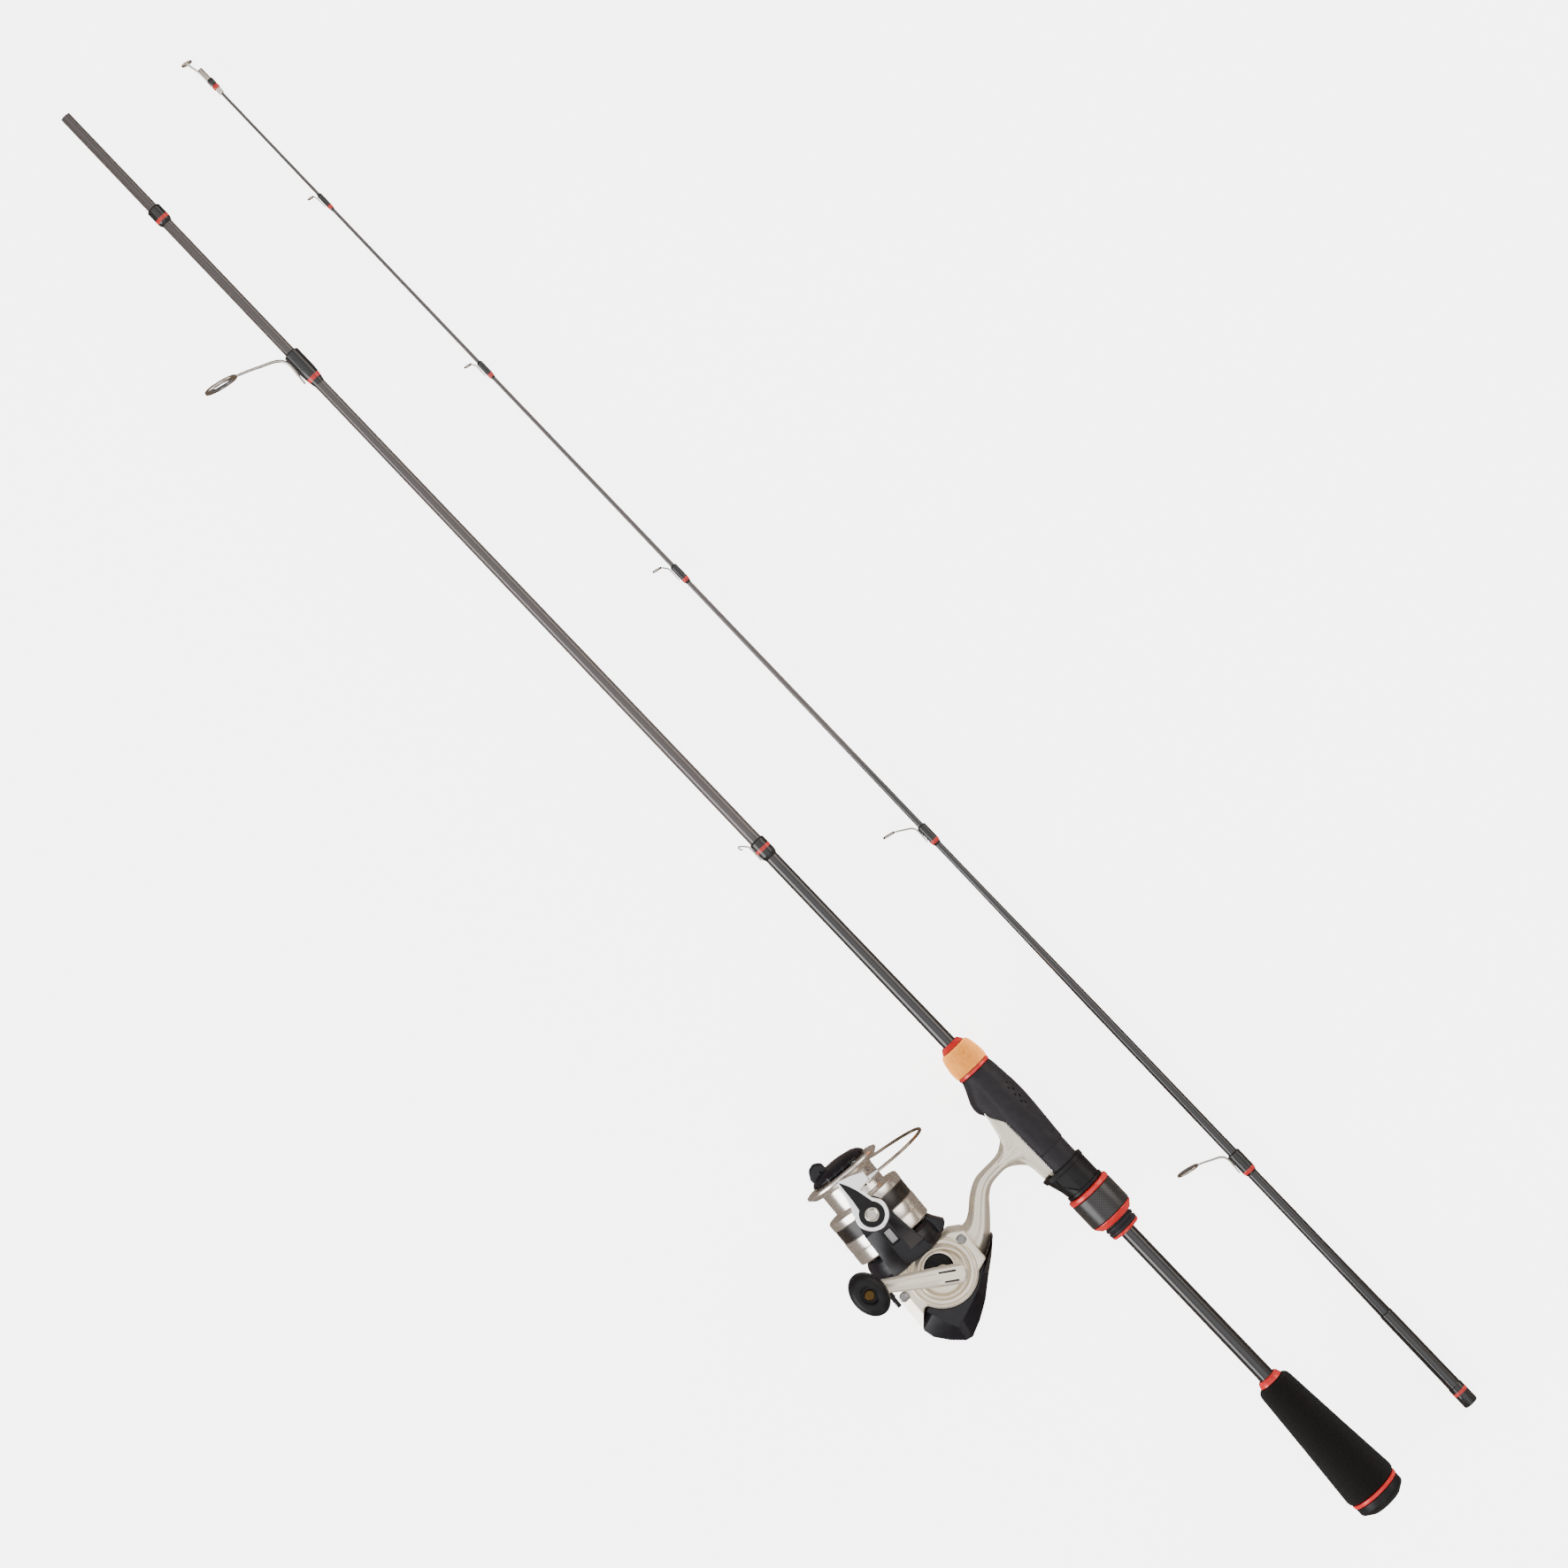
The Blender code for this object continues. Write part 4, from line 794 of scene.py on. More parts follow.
def build_moving_hood():
    """The screwed hood: a ring at each end, a slanted facet and a raised lip over the foot."""
    stations = ((234.2, 11.3, 0), (234.5, 11.7, 0), (236, 11.7, 0), (236.3, 10.9, 0), (241, 10.9, 0.9),
                (248.6, 10.9, 3.2), (248.9, 11.3, 3.6), (251.3, 11.3, 4.2), (251.6, 11, 4.1))
    hood = meshed([hood_ring(*entry) for entry in stations])
    bore = bar(260, 230, 9.7)
    pocket = plate([(243.2, 3), (256, 3), (256, 10.3), (248, 10), (243.2, 9.7)], -5.9, 5.9)
    facet = plate([(236.8, -1.2), (248.3, -1.2), (248.3, 7), (243.4, 6.4), (236.8, 1)], 9.9, 16,
                  turn=(radians(-19), 0, 0))
    cut(hood, bore, pocket, facet)
    stand_in("sliding_hood", "hood_black", HOOD, hood, name="moving_hood_shape", angle=24)
    barrel = [(230.6, 13), (230.3, 13.2), (215.2, 13.2), (214.9, 13)]
    stand_in("hood_nut", "carbon_weave", NUT, sleeve(barrel, NUT_BORE, fillet=0.2))
    for name, node, outer in (
            ("nut_rear_shape", "nut_rear_ring", [(214.6, 12.9), (213.8, 12.9), (210.6, 10.3)]),
            ("nut_front_shape", "nut_front_ring", [(233.8, 12.4), (233.3, 13.2), (231.2, 13.3), (230.8, 13)])):
        stand_in(node, "red_trim", NUT, sleeve(outer, NUT_BORE, fillet=0.3), name=name)


def build_keeper():
    low = 5.15
    route = [(481.5, low, 0), (490.5, low, 0), (492.6, low + 0.9, 0), (495, 8.4, 0), (495.2, 9.3, 0),
             (494.2, 9.6, 0), (492.6, 8.6, 0)]
    stand_in("hook_keeper", "stainless", BUTT, tube(route, [KEEPER_WIRE] * len(route)), name="keeper_shape")


# ---- rod: guides and tip section ---------------------------------------------------------
def build_guide(node, insert, mount, spec, blank_radius):
    """A single-leg guide: foot, bent leg, hoop and, on the larger ones, a polished insert."""
    ring_x, height, outer, thick, foot_x = spec
    major = outer - thick
    base_y = height - major * cos(GUIDE_LEAN)
    base_x = ring_x - major * sin(GUIDE_LEAN)
    top = blank_radius + thick * 0.75 + 0.3
    route = [(foot_x - 10 * thick, top, 0), (foot_x + (base_x - foot_x) * 0.28, top, 0),
             (foot_x + (base_x - foot_x) * 0.72, top + (base_y - top) * 0.52, 0), (base_x, base_y, 0)]
    leg = tube(route, [thick * 0.5, thick * 0.75, thick * 0.72, thick * 0.66])
    at = (ring_x, height, 0)
    stand_in(node, "stainless", mount, leg, hoop(major, thick, at, GUIDE_LEAN))
    if insert:
        section = thick * 0.55
        inner = outer - thick * 2 - section - 0.05
        stand_in(insert, "ceramic_ring", mount, hoop(inner, section, at, GUIDE_LEAN))


def build_tip_section():
    outer = [(69, 3.7), (68.4, 3.85), (14.6, 4), (14, 4.35), (1.5, 4.35), (1, 4.1)]
    stand_in("tip_ferrule", "carbon_blank", TIP_PART, sleeve(outer, 3.3, steps=SLIM, fillet=0.2))
    for name, looks, low, high, radius in (("mouth_wrap", "thread_black", 1.4, 14.2, 4.38),
                                           ("mouth_wrap_band", "thread_red", 9, 11.4, 4.42)):
        ring = bored([(high, radius - 0.1), (high - 0.3, radius), (low + 0.3, radius),
                      (low, radius - 0.1)], 3.6)
        finish(name, looks, TIP_PART, lathe(ring, closed=True, steps=SLIM))
    stations = [(69.3, station(TIP_STATIONS, 69.3))] + list(TIP_STATIONS[1:-1]) + [(995.4, 0.8)]
    stand_in("tip_blank", "carbon_blank", TIP_PART, lathe(list(reversed(stations)), steps=SLIM))
    for number, spec in TIP_GUIDES.items():
        start = spec[4] - 10.5 * spec[3] - 4
        height = 0.42 + 0.1 * number
        wrap(f"guide_wrap_{number}", TIP_PART, TIP_STATIONS, start, spec[4] + 2.5, height, 3,
             (start + 1.2, start + 3.5))
        insert = f"guide_ring_{number}" if number > 3 else None
        build_guide(f"guide_frame_{number}", insert, TIP_PART, spec,
                    station(TIP_STATIONS, spec[4]) + height)
    build_tip_top()


def build_tip_top():
    ring_x, height, outer, thick = 1011, 2.9, 3.3, 0.7
    sleeve = bored([(1004, 1.3), (1003.4, 1.45), (986.6, 1.45), (986, 1.3)], 1.12)
    ring = hoop(outer - thick, thick, (ring_x, height, 0), GUIDE_LEAN)
    braces = [tube([(990, 1.2, side * 0.9), (1002, 1.3, side * 1.3), (1010.6, height, side * 2.7)],
                   [0.45, 0.5, 0.5], 12) for side in (-1, 1)]
    stand_in("tip_top", "stainless", TIP_PART, lathe(sleeve, closed=True, steps=SLIM), ring, *braces)
    for name, looks, low, high in (("tip_top_band", "thread_red", 989.6, 992.2),
                                   ("tip_top_wrap", "thread_black", 992.2, 996.4)):
        ring = bored([(high, 1.7), (high - 0.4, 1.95), (low + 0.4, 1.95), (low, 1.7)], 1.2)
        finish(name, looks, TIP_PART, lathe(ring, closed=True, steps=SLIM))


# ---- reel: housing -----------------------------------------------------------------------
def housing_outline():
    return ([(HOUSING_FRONT, -25), (HOUSING_FRONT, 19.4), (-16.4, 18.7), (-9.2, 10.6)]
            + arc(DRUM_X, DRUM_Y, DRUM_RADIUS, 118, 232, 40) + [(-9.6, -31.5), (9.8, -31.5)])


def stem_rings():
    """Oval sections down the stem: (left edge, right edge, half thickness) at each station."""
    stations = (((-9.8, -29), (10.9, -29), 6.4), ((-8.4, -34), (11, -34.4), 6.4),
                ((-3.2, -40.4), (14.2, -39.4), 6.2), ((5.4, -47.6), (20.6, -45.8), 5.9),
                ((12.9, -53.2), (25.3, -53), 5.7), ((17.2, -58.6), (26.6, -59.4), 5.6),
                ((18.8, -65.6), (27.2, -65.8), 5.6), ((18.8, -70.6), (28.2, -70.8), 5.8),
                ((17.2, -74.4), (30.6, -74.5), 6.1), ((14.4, -78.2), (34.4, -78.6), 6.5),
                ((11, -81.6), (40, -82.4), 6.8))
    flat = flowing([(*left, *right, thick) for left, right, thick in stations], 6)
    rings = []
    for ax, ay, bx, by, thick in flat:
        ring = []
        for step in range(48):
            angle = tau * step / 48
            across = cos(angle) * 0.5 + 0.5
            rise = copysign(abs(sin(angle)) ** 0.95, sin(angle))
            groove = 0.2 * exp(-((across - 0.56) / 0.15) ** 2) + 0.12 * exp(-((across - 0.9) / 0.06) ** 2)
            ring.append((ax + (bx - ax) * across, ay + (by - ay) * across, thick * rise * (1 - groove)))
        rings.append(ring)
    return rings


def foot_shapes():
    """The foot: a thin plate, the mound that carries the stem, and a scoop on each side of it."""
    base = [(243.8, 7.4), (306.6, 7.4), (306.6, 9.4), (243.8, 9.4)]
    mound = [(252.5, 8), (300.4, 8), (300.4, 12.2), (296, 13.2), (290.6, 14.4), (285.8, 15.4),
             (281.4, 17.4), (278.2, 20.6), (276.8, 26), (274.4, 26), (273.2, 20.6), (271, 17.4),
             (266.8, 15.4), (262.1, 14), (252.5, 13.1)]
    left = [(254, 9.9), (265.9, 9.9), (269, 11.5), (269.8, 13.3), (267.6, 13), (262.1, 12), (254, 11.4)]
    right = [(296.3, 9.9), (283.4, 9.9), (280.1, 10.8), (277.8, 12.9), (277.4, 16.3), (278.8, 16.8),
             (281.3, 14.1), (285.8, 12.4), (291.5, 11.4), (296.3, 10.7)]
    ends = [to_reel([(x, 8.4)])[0][0] for x in (base[0][0], base[1][0])]
    half = [(ends[0] + inset, width) for inset, width in FOOT_TAPER]
    half += [(ends[1] - inset, width) for inset, width in reversed(FOOT_TAPER)]
    plan = half + [(x, -width) for x, width in reversed(half)]
    sole = keep(plate(to_reel(filleted(base, 0.6, 3, True)), -7, 7),
                plate(filleted(plan, 2, 4, True), 70, 100, turn=(pi / 2, 0, 0)))
    plates = [edged(sole, 0.4),
              plate(to_reel(filleted(mound, 1.2, 4, True)), -5.3, 5.3, 1, 3)]
    scoops = []
    for outline in (left, right):
        for low, high in ((3.4, 12), (-12, -3.4)):
            scoops.append(plate(to_reel(filleted(outline, 0.8, 3, True)), low, high))
    return plates, scoops


def build_housing():
    body = plate(housing_outline(), HOUSING_LOW, HOUSING_HIGH, 1.4, 3)
    stem = meshed(stem_rings())
    foot, scoops = foot_shapes()
    boss = bar(HOUSING_LOW + 1, -20, 9.2, "Z", at=CRANK_AT)
    cavity = plate([(12.2, -24), (12.2, 16.8), (-8, 16.8), (-8, 9.6)]
                   + arc(DRUM_X, DRUM_Y, DRUM_RADIUS - DRUM_WALL, CAVITY_START, 235, 30) + [(-7, -24)],
                   -13.4, 30)
    seat = bar(0, -18.8, 6.7, "Z", at=CRANK_AT)
    socket = bar(-10, -40, 4.4, "Z", at=CRANK_AT)
    shaft_hole = bar(20, 8, 7.7)
    lever_hole = bar(30, 14, 1.9, "Y", at=(LEVER_X, 0, 0))
    join(body, stem, *foot, boss)
    cut(body, cavity, seat, socket, shaft_hole, lever_hole, *scoops)
    stand_in("reel_body", "champagne_metal", HOUSING, body, name="housing_shape")


def build_side_cover():
    """The cover with its raised rings, and the well round the crank's neck, lined black as painted shade."""
    drum_at = (DRUM_X, DRUM_Y, 0)
    cover = plate(housing_outline(), COVER_LOW, COVER_HIGH, 0.9, 3)
    top = COVER_HIGH
    rings = filleted([(top + 0.4, 7), (top + 0.2, 11), (top + 0.6, 11.8), (top + 2.7, 12.5),
                      (top + 2.9, 13.6), (top + 0.9, 14.9), (top - 0.9, 16), (top - 0.9, 16.9),
                      (top + 0.9, 17.5), (top + 1.3, 18.5), (top - 0.6, 19.3), (top - 2.6, 19.3)], 0.5, 4)
    drum = lathe(rings, "Z", at=drum_at)
    well_at = (*WELL_PLACE, 0)
    neck = lathe([(17.6, 8.4), (17.4, 9.2), (16, 9.9), (12.4, 10)], "Z", at=well_at, fillet=0.4)
    front = block((HOUSING_FRONT - 0.4, -40, 0), (40, 40, 40))
    bore = bar(40, 0, 3.5, "Z", at=CRANK_AT)
    well = lathe([(40, 8.2), (17.4, 8.2), (14.2, 7.6)], "Z", at=well_at)
    seat = bar(14.4, 5, 6, "Z", at=CRANK_AT)
    holes = [bar(40, 0, 1.5, "Z", at=(*place, 0), steps=24) for place in SCREW_PLACES.values()]
    slope = block((-40, 0, 0), (40, 14, 6), at=(0, 12.9, COVER_HIGH), turn=(radians(-25), 0, 0))
    cut(cover, slope)
    moat = lathe([(top - 0.9, 15.8), (top + 9, 15.8), (top + 9, 17.1), (top - 0.9, 17.1)], "Z", True,
                 at=drum_at)
    join(cover, drum)
    cut(cover, moat, front)
    join(cover, neck)
    cut(cover, bore, well, seat, *holes)
    stand_in("side_cover", "champagne_metal", HOUSING, cover)
    # A black lining down the well's wall, with a floor round the crank's bore: painted shade in the recess.
    well_shade_lining = lathe([(16.9, 8.15), (14.3, 7.6), (14.1, 7.4), (14.9, 7.2), (16.9, 7.9)], "Z", True,
                   at=well_at)
    base = cut(bar(15, 14.1, 7.5, "Z", at=well_at), bar(20, 10, 3.6, "Z", at=CRANK_AT))
    join(well_shade_lining, base)
    finish("crank_well_painted_shade", "hood_black", HOUSING, well_shade_lining, slot="black_plastic")
    for name, place in SCREW_PLACES.items():
        profile = [(top + 1.2, 1.6), (top + 1.4, 2), (top + 1, 2.7), (top + 0.3, 2.7), (top + 0.3, 1.1),
                   (HOUSING_HIGH + 0.6, 1.1)]
        head = lathe(profile, "Z", at=(*place, 0), steps=36, fillet=0.15)
        slots = [block((-1.5, -0.3, top + 0.6), (1.5, 0.3, top + 3), at=(*place, 0), turn=(0, 0, angle))
                 for angle in (0.4, 0.4 + pi / 2)]
        stand_in(name, "gear_zinc", HOUSING, cut(head, *slots))


def build_rear_cover():
    """The black guard behind the housing: a wide facet all round and a raised upper panel."""
    rim = [(-11.2, 12.2), (-19.4, 19.4), (-25.6, 17.6), (-32.3, 11.9), (-38, 5.2), (-38.8, 1.3),
           (-34.3, -7.4), (-27.9, -16.5), (-18, -26.9), (-11.4, -34.4), (-3.4, -42)]
    crown = [(-11.5, 11.6), (-15, 10), (-19, 8.3), (-24, 6.2), (-28.9, 3.9), (-27.6, -0.5),
             (-23.7, -9.6), (-20.2, -17.2), (-15.1, -25.6), (-10.2, -32.3), (-3.6, -40.8)]
    inner = [(-2.6, -41), (-6.7, -37.5), (-10.2, -31.9)]
    inner += arc(DRUM_X, DRUM_Y, DRUM_RADIUS + 0.4, 230, 120, 40)
    levels = ((crown, -14), (rim, -7), (rim, 6), (crown, 13))
    guard = meshed([[(x, y, level) for x, y in edge + inner] for edge, level in levels])
    edged(guard, 0.35, 2, 12)
    stand_in("rear_cover", "rotor_plastic", HOUSING, guard, angle=10)


def build_reel_small_parts():
    cap = [(-20.3, 7.4), (-21.6, 8), (-27.6, 7.6), (-28.2, 6.6), (-32, 6.4), (-32.6, 5.8)]
    stand_in("side_cap", "black_plastic", HOUSING, lathe(cap, "Z", at=CRANK_AT, fillet=0.4))
    pin = bar(22, 14.6, 1.5, "Y", at=(LEVER_X, 0, 0), steps=SLIM)
    arm = block((-2.2, 20.2, -1.6), (7.1, 22.8, 1.6), 0.6, segments=3)
    notches = [block((x, 22.3, -3), (x + 0.5, 24, 3)) for x in (-1.6, -0.4, 0.8)]
    cut(join(pin, arm), *notches)
    stand_in("anti_reverse_lever", "black_plastic", LEVER, pin, name="reverse_lever_shape")


# ---- reel: crank and knob ----------------------------------------------------------------
def build_crank():
    reach = hypot(KNOB_X - CRANK_X, KNOB_Y - CRANK_Y)
    heading = atan2(KNOB_Y - CRANK_Y, KNOB_X - CRANK_X)
    outline = (arc(reach, 0, 3.5, -80, 80, 20) + [(30, 3.9), (18, 4.6), (4, 5.4)]
               + arc(-7.2, 0, 5.5, 92, 268, 32) + [(4, -5.4), (18, -4.6), (30, -3.9)])
    arm = plate(outline, CRANK_LOW, CRANK_HIGH, 1.9, 4)
    grooves = []
    for start, y, wide in ((4.6, -2.1, 0.9), (2, 1.7, 0.55)):
        outline = [(start, y - 0.35), (reach - 5, y - wide), (reach - 5, y + wide), (start, y + 0.35)]
        grooves.append(plate(outline, 37.9, 42))
    slots = []
    for first, last, y in ((-7.6, 0.4, 3), (-6.6, 3, -2.3)):
        outline = [(first, y - 0.55), (last, y - 0.45), (last, y + 0.45), (first, y + 0.55)]
        slots.append(plate(filleted(outline, 0.3, 2, True), 36.6, 42))
    flat = block((4, 0, 0), (60, 20, 8), at=(0, 0.6, CRANK_HIGH), turn=(radians(-7), 0, 0))
    shank = lathe([(35.6, 3.9), (27, 3.4), (24.6, 3.4), (22.4, 4.4), (20.8, 4.2), (20.6, 3.3),
                   (15.4, 3.3)], "Z", fillet=0.3)
    join(arm, shank)
    cut(arm, flat, *grooves, *slots)
    hub = Matrix.Translation((CRANK_X * MM, CRANK_Y * MM, 0)) @ Matrix.Rotation(heading, 4, "Z")
    mount = ("crank", REEL @ hub)
    stand_in("crank_arm", "champagne_metal", mount, arm)
    # Dark plates at the bottom of the crank's two slots: painted shade in the slots.
    slot_shade_floors = [plate([(first, y - 0.7), (last, y - 0.7), (last, y + 0.7), (first, y + 0.7)], 36.2, 36.9)
              for first, last, y in ((-7.4, 0.2, 3), (-6.4, 2.8, -2.3))]
    finish("crank_slot_painted_shade", "hood_black", mount, *slot_shade_floors, slot="black_plastic")


def build_knob():
    outer = [(64.4, 4.4), (66.2, 4.9), (66.8, 6.4), (66.5, 9.4), (65.2, 11.6), (63.6, 12.6), (60.6, 13),
             (56, 12.8), (51, 11.6), (45, 9.4), (42.2, 7.6), (41.2, 6.4)]
    knob = lathe(filleted(outer, 1.4, 4) + [(41.2, 2.6), (64.4, 2.6)], "Z", True, oval=0.73)
    hole = lathe([(70, 4.6), (64, 4.6), (64, 2.9), (30, 2.5)], "Z")
    ridges = [lathe([(height, 14), (height - 0.5, 14), (height - 0.5, 11 + lift), (height, 11 + lift)], "Z",
                    True, oval=0.73) for height, lift in ((61.6, 1.65), (58.8, 1.6), (56, 1.35))]
    cut(knob, hole, *ridges)
    place = Matrix.Translation((KNOB_X * MM, KNOB_Y * MM, 0))
    mount = ("knob", REEL @ place @ Matrix.Rotation(-SPOOL_TILT, 4, "Z"))
    stand_in("handle_knob", "black_plastic", mount, knob, name="knob_shape")
    cap = lathe([(65.4, 1.5), (65.6, 2.3), (65.2, 2.9), (64.8, 2.9), (64.8, 2.1), (60.4, 2.1)], "Z",
                steps=SLIM, fillet=0.2)
    slot = block((-2, -0.35, 65.2), (2, 0.35, 68), turn=(0, 0, 0.6))
    stand_in("knob_cap", "brass", mount, cut(cap, slot))


# ---- reel: rotor and bail ----------------------------------------------------------------
def build_rotor():
    profile = [(42, 11.6), (42, 13.5), (27.2, 13.7), (26.8, 20.6), (24.6, 21.8), (21, 22.4), (16.2, 22.2),
               (14.2, 21), (14.2, 19.2), (23, 18.8), (23, 7.6), (15, 7.4), (15, 4.7), (26.6, 4.7),
               (26.6, 11.4)]
    rotor = lathe(profile, closed=True, fillet=0.5)
    plan = ([(15, -14), (24, -11.8), (40, -9.4)] + arc(BAIL_X, 0, 9.4, -90, 90, 30)
            + [(40, 10.8), (24, 11.4), (15, 12.4)])
    clear = [bar(60, 26.7, 23.9), bar(26.8, 10, 20.2)]
    arms = [plate(plan, low, high) for low, high in ((14, ARM_FACE), (-ARM_FACE, -14))]
    facets = []
    for side in (-1, 1):
        low, high = sorted((0, 9 * side))
        facets.append(block((20.6, -14, low), (40.4, 0, high), at=(0, -4.2, ARM_FACE * side),
                            turn=(radians(28) * side, 0, 0)))
        facets.append(block((10, 0, low), (40.6, 14, high), at=(0, 3.2, ARM_FACE * side),
                            turn=(radians(-17.8) * side, 0, 0)))
    for arm in arms:
        cut(arm, *clear, *facets)
        edged(arm, 0.35)
    wedge = plate([(15.2, -14.2), (15, -18.3), (15.4, -23), (19, -27), (24.6, -22.9), (27.4, -21.4),
                   (27.2, -17.4), (22.6, -15.6)], -8, 8, 0.8)
    cut(wedge, bar(60, 10, 20.2))
    window = plate(filleted([(28.4, -3.4), (37.6, -3), (37.6, 2.6), (28.4, 2.4)], 0.8, 3, True), 25.6, 40)
    low_window = plate(filleted([(27, -3.6), (38, -3), (38, 3), (27, 3.6)], 0.8, 3, True), -40, -20)
    pivots = bar(40, -40, PIVOT_RADIUS, "Z", at=BAIL_AT, steps=SLIM)
    join(rotor, *arms, wedge)
    cut(rotor, window, low_window, pivots)
    stand_in("rotor", "rotor_plastic", ROTOR, rotor, angle=24)
    lever = block((29, -2.7, 25.3), (37.2, 2, 26.5), 0.5, segments=3)
    finish("rotor_lever", "gear_zinc", ROTOR, lever)
    for name, side in (("bail_screw", 1), ("far_bail_screw", -1)):
        flip = 0 if side > 0 else pi
        head = lathe([(31.9, 2.6), (32.3, 3.2), (32, 4), (31.6, 4), (31.6, 1.7), (24.4, 1.7)], "Z",
                     fillet=0.25, steps=48)
        star = [(radius * cos(pi * tooth / 6), radius * sin(pi * tooth / 6))
                for tooth in range(12) for radius in [2 if tooth % 2 else 1.15]]
        cut(head, plate(star, 31.2, 34))
        place = REEL @ Matrix.Translation((BAIL_X * MM, 0, 0)) @ Matrix.Rotation(flip, 4, "X")
        mount = ("rotor_unit", place)
        stand_in(name, "stainless", mount, head)


def build_bail():
    """The polished arm with its black inset pointer, the roller's cheek and the wire."""
    outline = arc(BAIL_X, 0, 9.3, 62, 292, 60)
    outline += [(56.2, -5.6), (62.6, -3.9), (63.9, -10.9), (69.6, -10.9), (72.2, -4), (73.8, 2.6),
                (73.2, 4.2), (66.7, 5), (60, 6), (56.1, 7.4)]
    arm = plate(outline, BAIL_Z + 1.4, BAIL_TOP, 0.9, 4)
    head = lathe([(BAIL_Z + 2, 9), (BAIL_Z, 8.8)], "Z", at=BAIL_AT)
    lug = block((61.2, -2.6, 24.4), (68.4, 0.6, BAIL_Z + 2), 0.8)
    pin = lathe([(-2, 1), (-8.8, 1), (-9, 2.6), (-12.6, 2.4), (-17.4, 1.2)], "Y",
                at=(ROLLER_X, 0, ROLLER_Z), steps=SLIM)
    inset = arc(BAIL_X, 0, 7.2, 34, 318, 60)
    inset += [(63.4, -2.2), (68, -0.2), (73.2, 2.7), (73, 3.5), (60.2, 3.7)]
    pivot = bar(40, 20, PIVOT_RADIUS, "Z", at=BAIL_AT, steps=SLIM)
    join(arm, head, lug, pin)
    cut(arm, plate(inset, BAIL_TOP - 0.9, 40), pivot)
    stand_in("bail_arm", "chrome", BAIL, arm, slot="champagne_metal")
    smaller = arc(BAIL_X, 0, 7, 34, 318, 60)
    smaller += [(63.3, -1.9), (67.9, 0.1), (72.6, 2.8), (72.4, 3.2), (60.2, 3.4)]
    panel = plate(smaller, BAIL_TOP - 0.85, BAIL_TOP - 0.15, 0.2)
    cut(panel, bar(40, 20, PIVOT_RADIUS, "Z", at=BAIL_AT, steps=SLIM))
    finish("bail_arm_inset", "hood_black", BAIL, panel, slot="black_plastic")
    far = plate(arc(BAIL_X, 0, 8, 40, 285, 50) + [(66, -15.2), (71.6, -15.2), (71.6, -9)],
                -BAIL_TOP, -BAIL_Z, 0.7, 3)
    far_pivot = bar(-20, -40, PIVOT_RADIUS, "Z", at=BAIL_AT, steps=SLIM)
    cut(join(far, block((66.6, -14.8, -BAIL_Z - 1), (71, -10, -24.6), 0.8)), far_pivot)
    stand_in("far_bail_arm", "champagne_metal", BAIL, far)
    roller = bored([(-3.2, 2.8), (-4, 2.5), (-5.7, 1.95), (-7.4, 2.5), (-8.2, 2.8)], 1.3)
    stand_in("line_roller", "chrome", ROLLER,
             lathe(roller, "Y", True, at=(ROLLER_X, 0, ROLLER_Z), fillet=0.3))
    near = [(-11, ROLLER_Z), (-14, ROLLER_Z), (-17, ROLLER_Z)]
    bend = [(WIRE_Y - WIRE_REACH * cos(a), ROLLER_Z * sin(a))
            for a in (radians(angle) for angle in range(90, -91, -10))]
    path = near + bend + [(-17.8, -ROLLER_Z), (-15.2, -ROLLER_Z)]
    route = []
    for index, (y, z) in enumerate(path):
        share = index / (len(path) - 1)
        route.append((ROLLER_X + 3.6 * share - 6.6 * share * (1 - share), y, z))
    stand_in("bail_wire", "warm_wire", BAIL, tube(route, [WIRE_RADIUS] * len(route)))


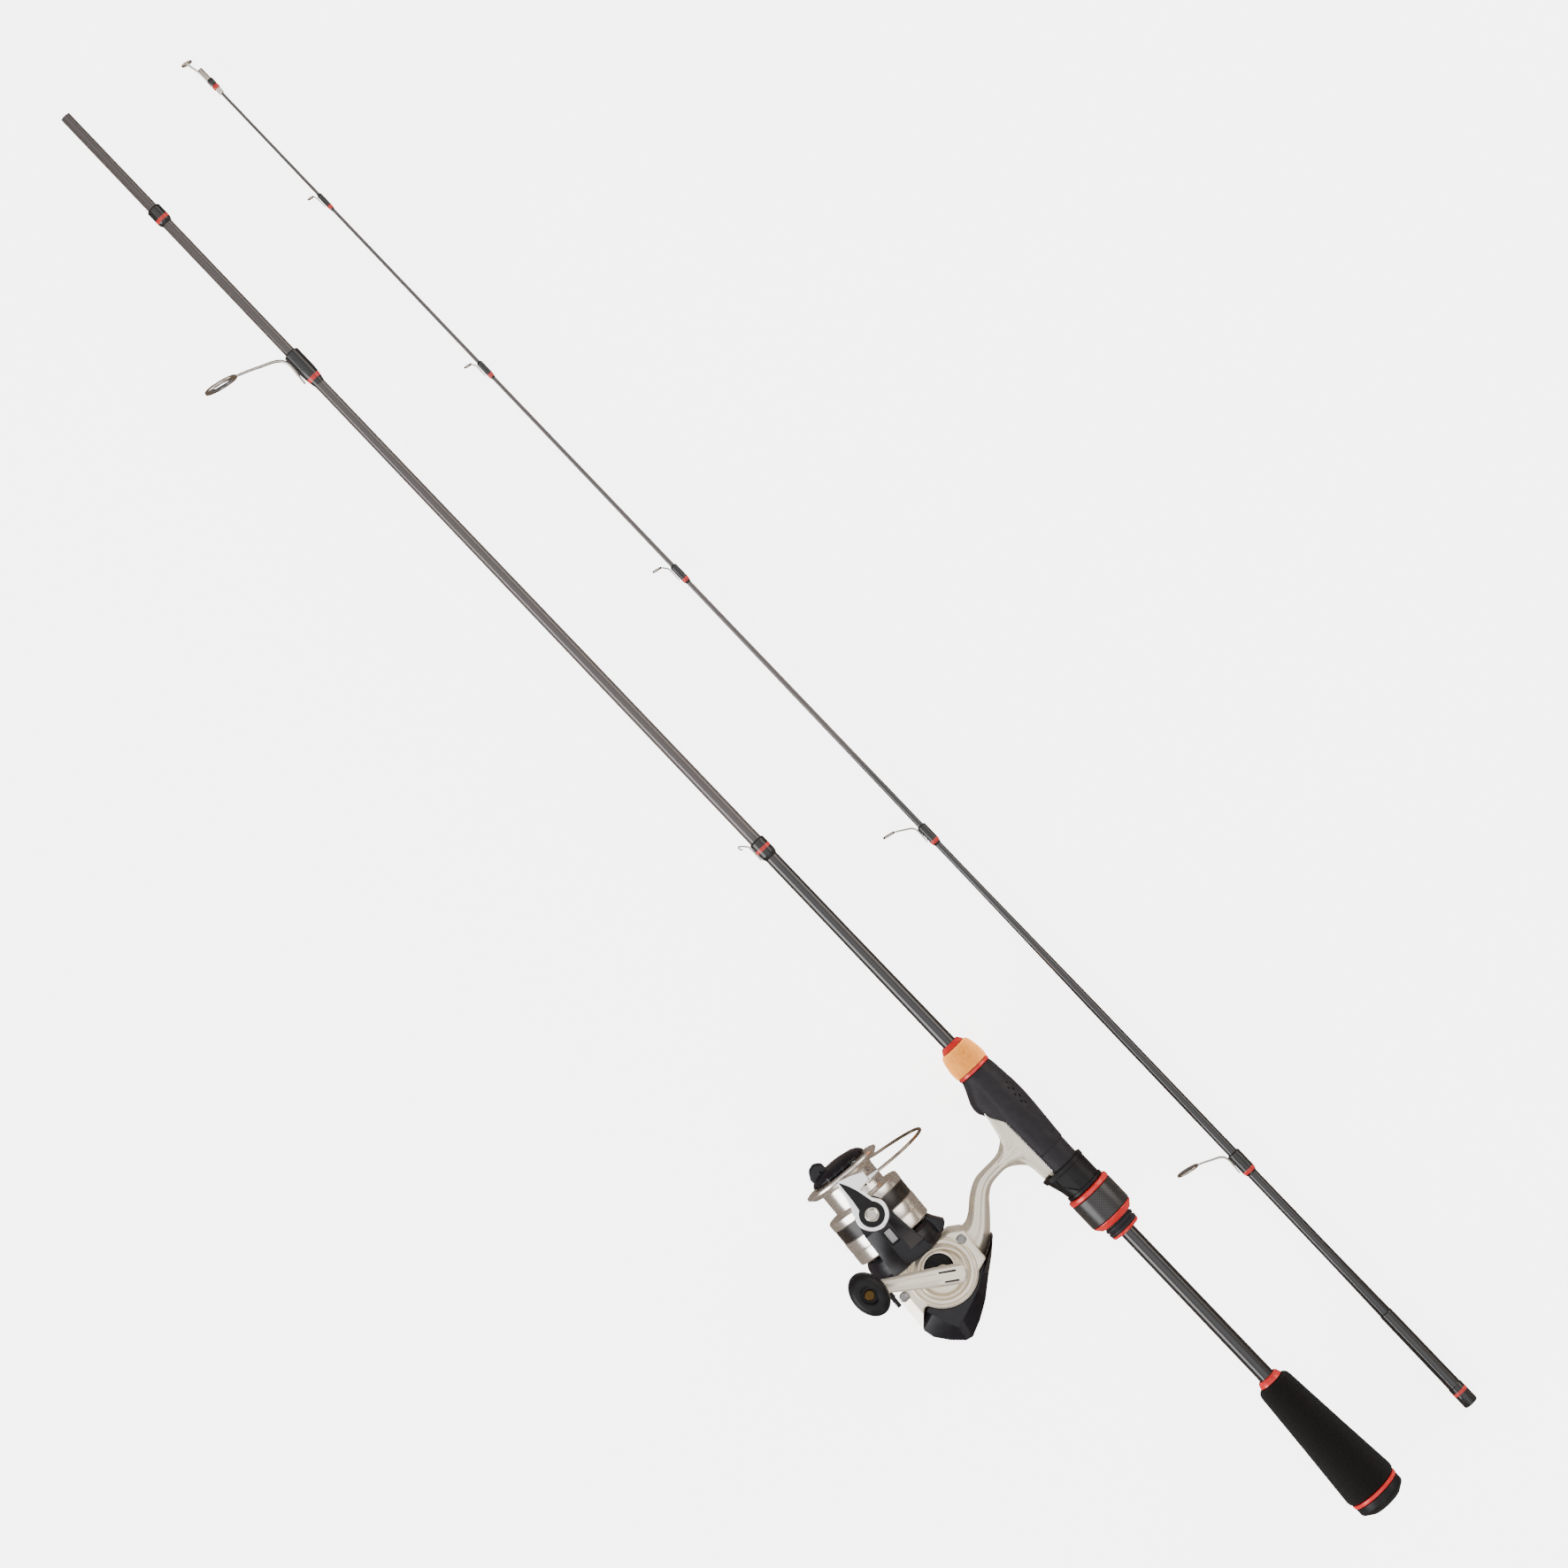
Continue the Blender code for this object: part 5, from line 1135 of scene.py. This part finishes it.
# ---- reel: spool and drag knob -----------------------------------------------------------
def build_spool():
    skirt, lip, arbor = 23.1, 23.4, 16.2
    profile = [(74.8, 14.8), (74.8, 21.6), (74.2, lip), (72.8, lip), (70.4, 20.4), (69.6, arbor),
               (57.4, arbor), (57, 18), (56.4, 22.4), (55.6, skirt), (51.3, skirt), (51, skirt - 0.5),
               (42.6, skirt - 0.5), (42.3, skirt), (36, skirt), (35.8, 22.8), (35.4, 22.8), (35.2, skirt),
               (28.9, skirt), (28.2, 22.6), (28.2, 21.6), (50.6, 21.2), (52, 19.8), (52, 7), (46, 6.6),
               (46, 2.5), (60, 2.5), (60, 14.4)]
    spool = lathe(profile, closed=True, fillet=0.25)
    stand_in("spool", "spool_silver", SPOOL, spool)
    band = sleeve([(50.8, 22.85), (42.8, 22.85)], 22.4, fillet=0.05)
    finish("spool_band", "spool_band", SPOOL, band)


def build_drag_knob():
    profile = [(81.4, 4), (81.2, 6), (80.2, 12), (79.2, 14.4), (77.8, 16.2), (76.4, 17.1), (75.4, 16.8),
               (75.2, 16), (75.2, 7.6), (66.8, 7.4), (66.4, 6.8), (66.4, 2.6), (77.4, 2.6)]
    knob = lathe(filleted(profile, 0.5))
    crest = plate(filleted([(78.4, 4.6), (84.6, 5.2), (87, 9), (85.6, 13.2), (80.6, 15.6), (77.8, 14.6)],
                           1.4, 4, True), -4.6, 4.6, 1.2, 3)
    grips = [block((74, 16.5, -0.7), (79.4, 19, 0.7), turn=(tau * (tooth + 0.5) / 20, 0, 0))
             for tooth in range(20)]
    groove = lathe([(82, 9.8), (80.3, 9.8), (80.3, 9.1), (82, 9.1)], closed=True)
    clear = bar(77.4, 60, 2.6, steps=SLIM)
    join(knob, crest)
    cut(knob, clear, groove, *grips)
    stand_in("drag_knob", "rotor_plastic", DRAG, knob)
    button = lathe([(87.4, 1.6), (86.6, 2.2), (85.6, 2.2)], fillet=0.3, steps=SLIM, at=(-2, 10.4, 0))
    finish("drag_click", "stainless", DRAG, button)


def dress_inner_nodes():
    """The parts left as they are in the frame take the same finishes."""
    for entry in frame["record"]["subparts"]:
        made = frame["nodes"][entry["node"]]
        looks = LOOKS[entry["material_slot"]]
        for place in made.material_slots:
            place.link = "OBJECT"
            place.material = looks


make_camera()
make_floor()
make_lights()
dress_inner_nodes()
build_butt_blank()
build_butt_grip()
build_cork()
build_seat()
build_moving_hood()
build_keeper()
build_guide("stripper_frame", "stripper_ring", BUTT, STRIPPER_GUIDE,
            station(BUTT_STATIONS, STRIPPER_GUIDE[4]) + STRIPPER_WRAP)
build_tip_section()
build_housing()
build_side_cover()
build_rear_cover()
build_reel_small_parts()
build_crank()
build_knob()
build_rotor()
build_bail()
build_spool()
build_drag_knob()
bpy.data.collections.remove(BENCH)
